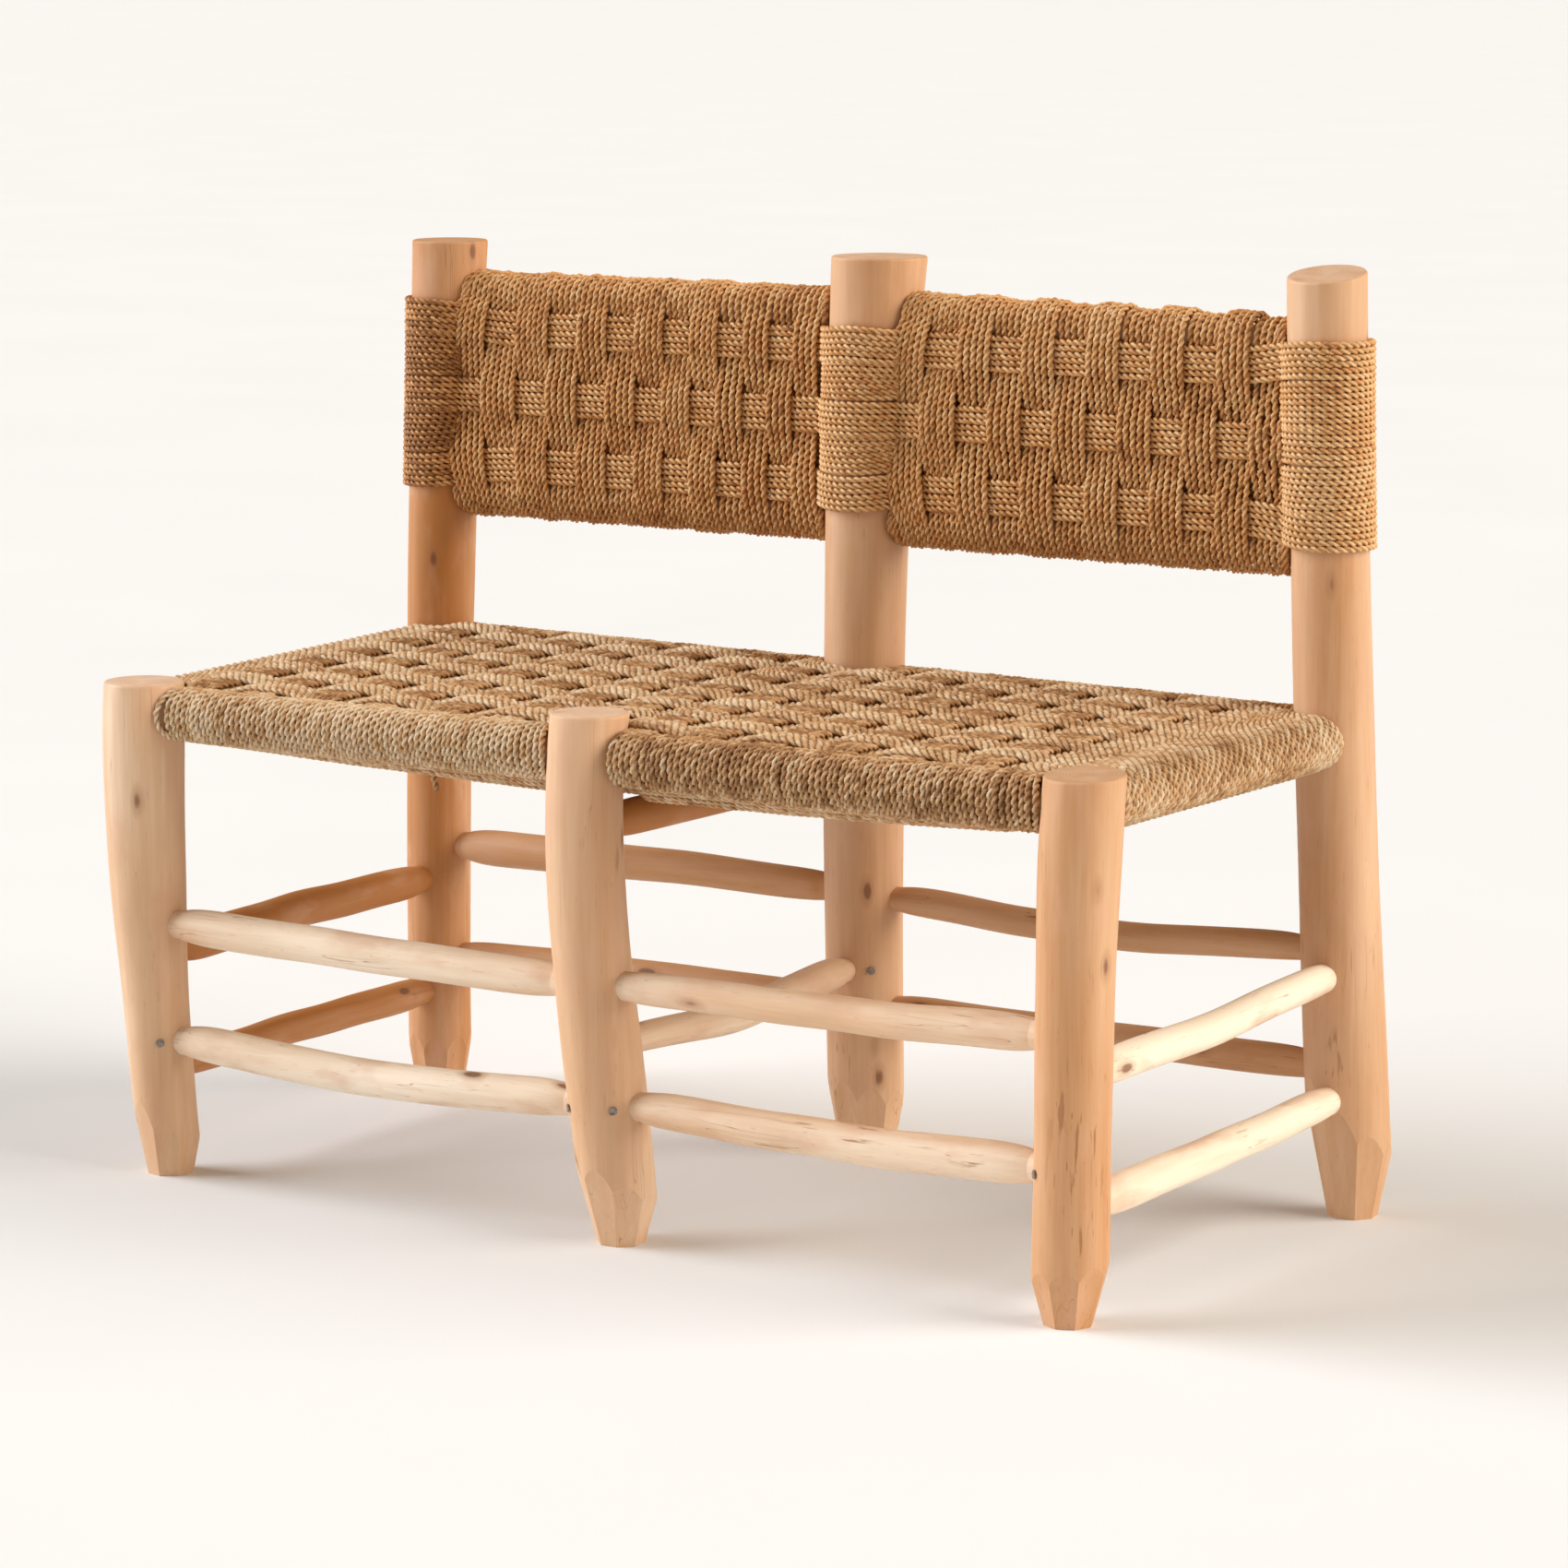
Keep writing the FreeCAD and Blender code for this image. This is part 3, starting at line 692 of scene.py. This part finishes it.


# Seat, ropes from front to back. Thirteen groups of five of the same rope go round the front and
# rear rails and show on top, browner there, only where a bundle dips under them. The middle
# group turns down behind the middle leg.
GROUP_ROPES = 5
WARP_PITCH = 0.0058
HALF_GROUP = (GROUP_ROPES - 1) / 2 * WARP_PITCH
WARP_LIFT = 0.0024
WARP_SHARPNESS = 2.2
WARP_SPREAD = 0.10
WARP_SWAY = 0.0004
WARP_POINTS = 220
WARP_TOP_BROWNING = 0.8
GROUP_MOODS = (0.1, 0.5)
WARP_MOODS = (0.0, 0.5)
RAIL_REACH = 0.02
DRIFT_REACH = 0.06
HIDDEN_BUNDLES = 0.7
BAND_LEFT_BROWNING = -0.25
BAND_RIGHT_BROWNING = 0.55
BAND_CHANGE_START = -0.1
BAND_CHANGE_WIDTH = 0.2


def beside_poles(middle, poles):
    """Place of a group at a rail: moved off a pole it would touch, or None behind a pole."""
    half = HALF_GROUP + POLE_CLEARANCE
    for pole_x, _, radius in poles:
        away = middle - pole_x
        if abs(away) < radius:
            return None
        if abs(away) < radius + half:
            return pole_x + math.copysign(radius + half, away)
    return middle


def band_browning(x):
    """How much browner the ropes on the front rail are; they darken towards the right half."""
    to_right = ease((x - BAND_CHANGE_START) / BAND_CHANGE_WIDTH)
    return BAND_LEFT_BROWNING + (BAND_RIGHT_BROWNING - BAND_LEFT_BROWNING) * to_right


def group_ends(middle, aside):
    """Where a rope of a group turns at the front and the rear, and how far a pole moves it there."""
    ends, moves = [], []
    for rails, poles, inward in ((front_rails, front_poles, 1), (rear_rails, rear_poles, -1)):
        moved = beside_poles(middle, poles)
        if moved is None:
            x = np.array(middle + aside)
            y = seat_edge(x, rails, poles, inward) + inward * SEAT_TURN / 2
            ends.append(np.array([middle + aside, y, seat_level(x, y)]))
            moves.append(0.0)
        else:
            ends.append(across_rails(rails, poles, np.array(moved + aside)))
            moves.append(moved - middle)
    return ends, moves


def front_to_back(group, member, tone):
    """One rope over the top, round the rear rail, back below and round the front rail."""
    middle = GROUP_START + group * GROUP_PITCH
    aside = member * WARP_PITCH - HALF_GROUP
    ends, moves = group_ends(middle, aside)
    share = np.linspace(0, 1, WARP_POINTS)
    y = ends[0][1] + share * (ends[1][1] - ends[0][1])
    level = ends[0][2] + share * (ends[1][2] - ends[0][2])
    front, rear = seat_edges(np.array(middle))
    passed = (y - front) / (rear - front) * WEFT_BUNDLES
    over = np.tanh(WARP_SHARPNESS * np.cos(math.pi * (passed - 0.5))) * (-1 if group % 2 else 1)
    hidden = 1 - ease(passed - HIDDEN_BUNDLES)
    from_front, from_rear = y - y[0], y[-1] - y
    inside = ease(np.minimum(from_front, from_rear) / RAIL_REACH)
    drift = moves[0] * (1 - ease(from_front / DRIFT_REACH)) + moves[1] * (1 - ease(from_rear / DRIFT_REACH))
    runs = []
    for side in (1, -1):
        if side < 0:
            over = over * (1 - hidden) - hidden
        off = SEAT_TURN + (WARP_LIFT * over + slack(WARP_POINTS, ROPE_RIPPLE)) * inside
        z = level + side * off
        if side < 0:
            z = z - seat_sag(middle, y, front, rear)
        spread = aside * (1 + WARP_SPREAD * over * inside)
        x = middle + drift + spread + slack(WARP_POINTS, WARP_SWAY) * inside
        runs.append(np.stack([x, y, z], axis=1))
    loop = loop_of(runs[0], runs[1][::-1], ALONG_Y, -ALONG_Y)
    stain = np.full(len(loop), band_browning(middle))
    stain[:WARP_POINTS] = WARP_TOP_BROWNING * inside + (1 - inside) * stain[:WARP_POINTS]
    return loop, True, tone, stain


for group in range(WARP_GROUPS):
    mood = randoms.uniform(*GROUP_MOODS)
    ropes = []
    for member in range(GROUP_ROPES):
        ropes.append(front_to_back(group, member, mood + randoms.uniform(*WARP_MOODS)))
    rope_piece(f"seat_group_along_{group + 1}", ropes, ALONG_X, seat_finish, ["seat_weave"])


# Seat edges. Between those groups the front and rear rails are wrapped turn beside turn with the
# same rope, and two turns beside each corner pole cover the ends of the side rails, so that no
# wood of the rails shows.
WRAP_PITCH = 0.0054
WRAP_CLEARANCE = 1.1 * ROPE_RADIUS
WRAP_POINTS = 60
WRAP_LEAN = (0.0002, 0.0009)
WRAP_SLACK = 0.0005
WRAP_WAVE = 0.0002
NEIGHBOUR_BEND = 0.8
REAR_STAIN = 0.5
END_BENDS = (0.5, 1.0)


def wrap_ring(axis_point, radius, poles, bend=1.0):
    """One turn of rope round a rail that runs from side to side, bent towards the poles beside it."""
    turns = np.linspace(0, 2 * math.pi, WRAP_POINTS, endpoint=False)
    lean = randoms.uniform(*WRAP_LEAN)
    spin = randoms.uniform(0, 2 * math.pi)
    loose = radius + randoms.uniform(0, WRAP_SLACK) + WRAP_WAVE * np.sin(2 * turns + spin)
    backwards, upwards = loose * np.cos(turns), loose * np.sin(turns)
    aside = lean * np.sin(turns + spin)
    for pole_x, pole_y, pole_radius in poles:
        clear = pole_radius + WRAP_CLEARANCE
        away = pole_x - axis_point[0]
        from_pole = axis_point[1] + backwards - pole_y
        room = clear - np.sqrt(np.maximum(clear ** 2 - from_pole ** 2, 0))
        part = bend * NEIGHBOUR_BEND ** (max(abs(away) - clear, 0) / WRAP_PITCH)
        aside = aside + math.copysign(part, away) * room
    line = axis_point + np.stack([aside, backwards, upwards], axis=1)
    stain = REAR_STAIN if axis_point[1] > 0 else band_browning(axis_point[0])
    return line, True, randoms.uniform(), stain


def rings_between(rail, low, high, radius, poles=()):
    """Turns side by side on a stretch of a rail, none where there is no room."""
    count = max(0, math.floor((high - low) / WRAP_PITCH + 0.5) + 1)
    return [wrap_ring(line_at(rail, SIDEWAYS, x), radius, poles) for x in np.linspace(low, high, count)]


def edge_wraps(rails, poles):
    """Turns on the stretches of both rails that no group of ropes crosses."""
    rings = []
    half = HALF_GROUP + WRAP_PITCH
    groups = [beside_poles(GROUP_START + group * GROUP_PITCH, poles) for group in range(WARP_GROUPS)]
    for rail, near, far in zip(rails, poles[:-1], poles[1:]):
        low = near[0] + near[2] + WRAP_CLEARANCE
        stop = far[0] - far[2] - WRAP_CLEARANCE
        for group in groups:
            if group is not None and low < group < stop:
                rings += rings_between(rail, low, group - half, SEAT_TURN, poles)
                low = group + half
        rings += rings_between(rail, low, stop, SEAT_TURN, poles)
    return rings


def corner_ring(rail, pole, inward, bend):
    """A turn on a side rail beside a pole: a front rail's turn with x and y exchanged."""
    pole_x, pole_y, radius = pole
    point = line_at(rail, BACKWARDS, pole_y + inward * (radius + WRAP_CLEARANCE))
    line, closed, tone, _ = wrap_ring(point[[1, 0, 2]], SEAT_TURN, [(pole_y, pole_x, radius)], bend)
    return line[:, [1, 0, 2]], closed, tone, 0.0


for name, rails, poles in (("front", front_rails, front_poles), ("rear", rear_rails, rear_poles)):
    rings = edge_wraps(rails, poles)
    rope_piece(name + "_edge_wraps", rings, ALONG_X, seat_finish, ["seat_weave"])
corners = [(left_rail, front_poles[0], 1), (left_rail, rear_poles[0], -1),
           (right_rail, front_poles[2], 1), (right_rail, rear_poles[2], -1)]
rings = [corner_ring(*corner, bend) for corner in corners for bend in END_BENDS]
rope_piece("corner_wraps", rings, ALONG_Y, seat_finish, ["seat_weave"])


# Back, level rows. Three rows of six golden-brown ropes run along the front of the back from post
# to post, round the outer posts and back behind, in and out of the upright bundles.
BACK_RAIL_RADIUS = 0.014
BACK_LAYER = 0.0029
BACK_TURN = BACK_RAIL_RADIUS + BACK_LAYER + ROPE_RADIUS
BACK_MIDDLE = 0.655
ROW_HEIGHTS = (0.718, 0.656, 0.594)
ROW_ROPES = 6
ROW_PITCH = 0.0052
ROW_LIFT = 0.0015
ROW_BEND = 0.0015
ROW_SHARPNESS = 2.4
ROW_SWAY = 0.0004
ROW_POINTS = 520
ROW_TONES = (0.1, 0.7)
ROW_FAN = 0.15
FAN_REACH = 0.05
MIDDLE_FAN = 0.06
MIDDLE_FAN_REACH = 0.035
MIDDLE_PROUD = 0.0015
POST_GAP = 0.0005
POST_STAINS = (0.9, -0.4, -0.4)
back_panels = {
    "left": {"count": 13, "first": 0.0346, "last": 0.0260, "start": -0.436, "bow": (0.014, -0.006)},
    "right": {"count": 12, "first": 0.0316, "last": 0.0314, "start": 0.040, "bow": (0.015, 0.002)},
}
back_rails = {side: (rail_line("back_bottom_rail_" + side), rail_line("back_top_rail_" + side))
              for side in back_panels}


def bundle_edges(panel):
    """Where a panel's upright bundles meet along its rails, from left to right."""
    widths = np.linspace(panel["first"], panel["last"], panel["count"])
    return panel["start"] + np.concatenate([[0], np.cumsum(widths)])


def back_plane(x, z):
    """Depth of the plane through the two back rails, on either side of the middle post."""
    rails = back_rails["left" if x < 0 else "right"]
    low, high = (line_at(rail, SIDEWAYS, np.array(x)) for rail in rails)
    return low[1] + (z - low[2]) / (high[2] - low[2]) * (high[1] - low[1])


def row_over(x, row):
    """1 where a row passes outside the bundle at x, -1 where it passes inside, 0 at the posts."""
    total = np.zeros(len(x))
    for panel in back_panels.values():
        edges = bundle_edges(panel)
        index = np.clip(np.searchsorted(edges, x) - 1, 0, panel["count"] - 1)
        share = np.clip((x - edges[index]) / (edges[index + 1] - edges[index]), 0, 1)
        outside = np.where((index + row) % 2 == 0, 1, -1)
        total += outside * np.tanh(ROW_SHARPNESS * np.sin(math.pi * share))
    return total


def level_row(row, member, tone):
    """One rope along the front, round the right post, along the rear and round the left post."""
    z = ROW_HEIGHTS[row] + ((ROW_ROPES - 1) / 2 - member) * ROW_PITCH
    rise = ROW_HEIGHTS[row] - BACK_MIDDLE
    posts = [pole_round(name, z) for name in post_names]
    reach = [post[2] + ROPE_RADIUS + POST_GAP for post in posts]
    reach[1] += MIDDLE_PROUD
    x = np.linspace(posts[0][0], posts[2][0], ROW_POINTS)
    plane = np.array([back_plane(value, z) for value in x])
    over = row_over(x, row + 1)
    runs = []
    for side in (-1, 1):
        off = BACK_TURN + ROW_LIFT * over + slack(ROW_POINTS, ROPE_RIPPLE)
        for (post_x, post_y, _), turn in zip(posts, reach):
            bulge = np.sqrt(np.maximum(turn ** 2 - (x - post_x) ** 2, 0)) + side * (post_y - plane)
            bulge = np.where(np.abs(x - post_x) < turn, bulge, 0)
            off = outer(off, bulge, ROW_BEND)
        at_ends = swell(x, posts[0][0], FAN_REACH) + swell(x, posts[2][0], FAN_REACH)
        spread = MIDDLE_FAN * swell(x, posts[1][0], MIDDLE_FAN_REACH) + ROW_FAN * at_ends
        height = z + spread * rise + slack(ROW_POINTS, ROW_SWAY) * (1 - at_ends)
        runs.append(np.stack([x, plane + side * off, height], axis=1))
    loop = loop_of(runs[0], runs[1][::-1], ALONG_X, -ALONG_X)
    stain = sum(depth * swell(loop[:, 0], post[0], FAN_REACH) for depth, post in zip(POST_STAINS, posts))
    return loop, True, tone, stain


back_finish = rope_finish("back_rope", straw=(0.95, 0.59, 0.28), green=(0.82, 0.465, 0.185),
                          tan=(0.81, 0.395, 0.135), brown=(0.41, 0.17, 0.045))
for row, name in enumerate(("top", "middle", "bottom")):
    ropes = [level_row(row, member, randoms.uniform(*ROW_TONES)) for member in range(ROW_ROPES)]
    rope_piece(f"back_row_{name}", ropes, ALONG_Z, back_finish, ["back_weave_left", "back_weave_right"])


# Back, upright bundles. Bundles of four to six ropes go over the top rail and round the bottom
# rail of each half of the back and hide the rails; at the left of each half they bow towards the
# post. Turns fill the rails' ends, and ropes between the two faces close what is left open.
UPRIGHT_PITCH = 0.0062
UPRIGHT_LIFT = 0.0045
UPRIGHT_RIPPLE = 0.0004
UPRIGHT_SWAY = 0.0006
UPRIGHT_POINTS = 130
LOOSE_CROWN = 0.10
BOW_REACH = 0.075
BOW_FULLNESS = 0.7
PINCH = -0.07
ROW_HALF_HEIGHT = 0.021
LOOSE_BUNDLES = 2
LOOSE_SLACK = 3.5
INNER_PITCH = 0.0046
INNER_STAIN = 0.6
INNER_POINTS = 40
RAIL_ROPE_POINTS = 60


def bow_at(panel, x):
    """How far the ropes that start at x on the rails bow sideways halfway up."""
    left_bow, right_bow = panel["bow"]
    edges = bundle_edges(panel)
    return right_bow * np.exp((x - edges[-1]) / BOW_REACH) - left_bow * np.exp((edges[0] - x) / BOW_REACH)


def upright(side, bundle, member, members, tone, looseness):
    """One rope up the front, over the top rail, down the rear and round the bottom rail."""
    panel = back_panels[side]
    edges = bundle_edges(panel)
    middle = (edges[bundle] + edges[bundle + 1]) / 2
    at_rail = edges[bundle] + (member + 0.5) / members * (edges[bundle + 1] - edges[bundle])
    bottom, top = (line_at(rail, SIDEWAYS, np.array(at_rail)) for rail in back_rails[side])
    share = np.linspace(0, 1, UPRIGHT_POINTS)
    free = np.sin(math.pi * share) ** BOW_FULLNESS
    z = bottom[2] + share * (top[2] - bottom[2])
    plane = bottom[1] + share * (top[1] - bottom[1])
    behind = np.zeros(UPRIGHT_POINTS)
    for row, height in enumerate(ROW_HEIGHTS):
        passes = 1 if (bundle + row + 1) % 2 == 0 else -1
        behind += passes * np.exp(-(np.abs(z - height) / ROW_HALF_HEIGHT) ** 4)
    x = at_rail + bow_at(panel, at_rail) * free + (at_rail - middle) * PINCH * behind * free
    runs = []
    for facing in (-1, 1):
        off = BACK_TURN - UPRIGHT_LIFT * behind + slack(UPRIGHT_POINTS, UPRIGHT_RIPPLE * looseness) * free
        sway = slack(UPRIGHT_POINTS, UPRIGHT_SWAY * looseness) * free
        runs.append(np.stack([x + sway, plane + facing * off, z], axis=1))
    crown = 1 + randoms.uniform(0, LOOSE_CROWN)
    return loop_of(runs[0], runs[1][::-1], ALONG_Z * crown, -ALONG_Z * crown), True, tone, 0.0


def inner_rope(side, x):
    """A rope between the two faces of the back, from rail to rail."""
    bottom, top = (line_at(rail, SIDEWAYS, np.array(x)) for rail in back_rails[side])
    end = (BACK_RAIL_RADIUS + ROPE_RADIUS) / np.linalg.norm(top - bottom)
    share = np.linspace(end, 1 - end, INNER_POINTS)[:, None]
    return bottom + share * (top - bottom), False, randoms.uniform(), INNER_STAIN


def rope_on_rail(side, low, high, level):
    """A rope laid along a back rail on the side that faces the other rail."""
    x = np.linspace(low, high, RAIL_ROPE_POINTS)
    rails = [line_at(rail, SIDEWAYS, x) for rail in back_rails[side]]
    across = rails[1 - level] - rails[level]
    across = across / np.linalg.norm(across, axis=1)[:, None]
    line = rails[level] + across * (BACK_RAIL_RADIUS + ROPE_RADIUS)
    return line, False, randoms.uniform(), INNER_STAIN


for side, panel in back_panels.items():
    edges = bundle_edges(panel)
    bowed = edges + bow_at(panel, edges)
    half = panel["count"] // 2
    end_posts = post_names[:2] if side == "left" else post_names[1:]
    for part, bundles in enumerate((range(0, half), range(half, panel["count"]))):
        ropes = []
        for bundle in bundles:
            members = round((bowed[bundle + 1] - bowed[bundle]) / UPRIGHT_PITCH)
            mood = randoms.uniform(*BUNDLE_MOODS)
            at_loose_end = side == "right" and bundle >= panel["count"] - LOOSE_BUNDLES
            looseness = LOOSE_SLACK if at_loose_end else 1.0
            for member in range(members):
                tone = mood + randoms.uniform(*ROPE_MOODS)
                ropes.append(upright(side, bundle, member, members, tone, looseness))
        for rail in back_rails[side]:
            post = pole_round(end_posts[part], rail[0][2])
            beside = post[0] + (1 - 2 * part) * (post[2] + WRAP_CLEARANCE)
            if part == 0:
                ropes += rings_between(rail, beside, edges[0] - ROPE_RADIUS, BACK_TURN)
            else:
                ropes += rings_between(rail, edges[-1] + ROPE_RADIUS, beside, BACK_TURN)
            for bend in END_BENDS:
                ropes.append(wrap_ring(line_at(rail, SIDEWAYS, beside), BACK_TURN, [post], bend))
        rope_piece(f"back_{side}_uprights_{part + 1}", ropes, ALONG_X, back_finish, ["back_weave_" + side])
    near, far = (pole_round(name, BACK_MIDDLE) for name in end_posts)
    places = np.arange(near[0] + near[2] + ROPE_RADIUS, far[0] - far[2] - ROPE_RADIUS, INNER_PITCH)
    ropes = [inner_rope(side, x) for x in places]
    ropes += [rope_on_rail(side, places[0], places[-1], level) for level in (0, 1)]
    rope_piece(f"back_{side}_inner_ropes", ropes, ALONG_X, back_finish, ["back_weave_" + side])


# Turns on the rear posts. Between the rows the same rope is wound round each post, turn beside
# turn, and holds the rows in place; the turns spread where no rails are in their way.
ROW_GAP = 0.45 * ROW_PITCH
TURN_POINTS = 40
TURN_GAP = 0.0004
TURN_RIPPLE = 0.0002
TURN_TONES = (0.2, 0.8)
POST_SECTIONS = 12
OPEN_FADE = 1.4


def post_turns(name, rows, start, openness, fan, stain):
    """A winding between two rows; it starts on a panel's side and spreads on the open sides."""
    half_row = (ROW_ROPES - 1) / 2 * ROW_PITCH
    low = rows[0] + half_row + ROW_GAP
    high = rows[1] - half_row - ROW_GAP
    low_open = low + fan * (rows[0] - BACK_MIDDLE)
    high_open = high + fan * (rows[1] - BACK_MIDDLE)
    count = round((high_open - low_open) / ROW_PITCH)
    turn = np.linspace(0, count, TURN_POINTS * count + 1)
    angle = 2 * math.pi * turn + start
    share = turn / count
    opened = openness(angle)
    z = (low + share * (high - low)) * (1 - opened) + (low_open + share * (high_open - low_open)) * opened
    heights = np.linspace(z.min(), z.max(), POST_SECTIONS)
    sections = np.array([pole_round(name, height) for height in heights])
    x, y, radius = (np.interp(z, heights, sections[:, i]) for i in range(3))
    reach = radius + ROPE_RADIUS + TURN_GAP + slack(len(turn), TURN_RIPPLE)
    line = np.stack([x + reach * np.cos(angle), y + reach * np.sin(angle), z], axis=1)
    return line, False, randoms.uniform(*TURN_TONES), stain


# Where each post's turns start, how open each direction is, and how far they spread there.
post_sides = (
    (0.0, lambda angle: swell(np.maximum(np.cos(angle), 0), 0, OPEN_FADE), ROW_FAN),
    (0.0, lambda angle: np.sin(angle) ** 2, MIDDLE_FAN),
    (math.pi, lambda angle: swell(np.minimum(np.cos(angle), 0), 0, OPEN_FADE), ROW_FAN),
)
for name, settings, stain in zip(post_names, post_sides, POST_STAINS):
    row_pairs = (ROW_HEIGHTS[2:0:-1], ROW_HEIGHTS[1::-1])
    ropes = [post_turns(name, rows, *settings, stain) for rows in row_pairs]
    rope_piece(name + "_turns", ropes, ALONG_Z, back_finish, [name + "_winding"])


# Floor, light and camera. A plain pale floor, broad soft light from both sides in a dim warm
# surrounding, and the camera where the bench fills the picture as it was seen.
FLOOR_RADIUS = 300.0
FLOOR_CORNERS = 64
FLOOR_MOTTLE = (0.6, 0.6)
FLOOR_GREY = (0.83, 0.86, 0.895)
FLOOR_PALE = (0.86, 0.89, 0.925)
floor_mesh = bpy.data.meshes.new("floor")
turns = np.linspace(0, 2 * math.pi, FLOOR_CORNERS, endpoint=False)
rim = [(FLOOR_RADIUS * math.cos(turn), FLOOR_RADIUS * math.sin(turn), 0) for turn in turns]
floor_mesh.from_pydata(rim, [], [list(range(FLOOR_CORNERS))])
floor = bpy.data.objects.new("floor", floor_mesh)
bpy.context.scene.collection.objects.link(floor)
floor_finish, shader, place = new_finish("pale_floor")
mottle = place.grain(FLOOR_MOTTLE, UPWARDS, 1.0)
feed(shader, Base_Color=mottle.mix(FLOOR_GREY, FLOOR_PALE), Roughness=0.65 + mottle * 0.1)
floor_mesh.materials.append(floor_finish)

SURROUNDING_COLOUR = (1.0, 0.78, 0.56, 1)
SURROUNDING_STRENGTH = 0.27
world = bpy.data.worlds.new("studio")
world.use_nodes = True
surrounding = world.node_tree.nodes["Background"].inputs
surrounding["Color"].default_value = SURROUNDING_COLOUR
surrounding["Strength"].default_value = SURROUNDING_STRENGTH
bpy.context.scene.world = world


def soft_light(name, azimuth, elevation, spread, strength, colour):
    """A broad light from far away, so that the whole floor is lit alike; azimuth 0 is in front."""
    lamp = bpy.data.lights.new(name, "SUN")
    lamp.angle = math.radians(spread)
    lamp.energy = strength
    lamp.color = colour
    lamp_object = bpy.data.objects.new(name, lamp)
    bpy.context.scene.collection.objects.link(lamp_object)
    lamp_object.rotation_euler = (math.radians(90 - elevation), 0, math.radians(azimuth))


soft_light("left_window", azimuth=-66, elevation=27, spread=50, strength=3.4, colour=(0.98, 1.0, 1.02))
soft_light("right_window", azimuth=107, elevation=27, spread=50, strength=3.2, colour=(1.0, 0.93, 0.84))

CAMERA_AZIMUTH = math.radians(33.481)
CAMERA_ELEVATION = math.radians(9.243)
CAMERA_DISTANCE = 4.228
CAMERA_TARGET = np.array([0.1848, -0.2127, 0.403])
SENSOR_WIDTH = 36.0
PICTURE_WIDTH = 1700
FOCAL_PIXELS = 5734.6
level_distance = CAMERA_DISTANCE * math.cos(CAMERA_ELEVATION)
from_target = np.array([level_distance * math.sin(CAMERA_AZIMUTH), -level_distance * math.cos(CAMERA_AZIMUTH),
                        CAMERA_DISTANCE * math.sin(CAMERA_ELEVATION)])
camera = bpy.data.cameras.new("camera")
camera.sensor_width = SENSOR_WIDTH
camera.lens = FOCAL_PIXELS * SENSOR_WIDTH / PICTURE_WIDTH
camera_object = bpy.data.objects.new("camera", camera)
bpy.context.scene.collection.objects.link(camera_object)
camera_object.location = CAMERA_TARGET + from_target
camera_object.rotation_euler = (math.pi / 2 - CAMERA_ELEVATION, 0, CAMERA_AZIMUTH)
bpy.context.scene.camera = camera_object
bpy.context.scene.view_settings.view_transform = "Standard"
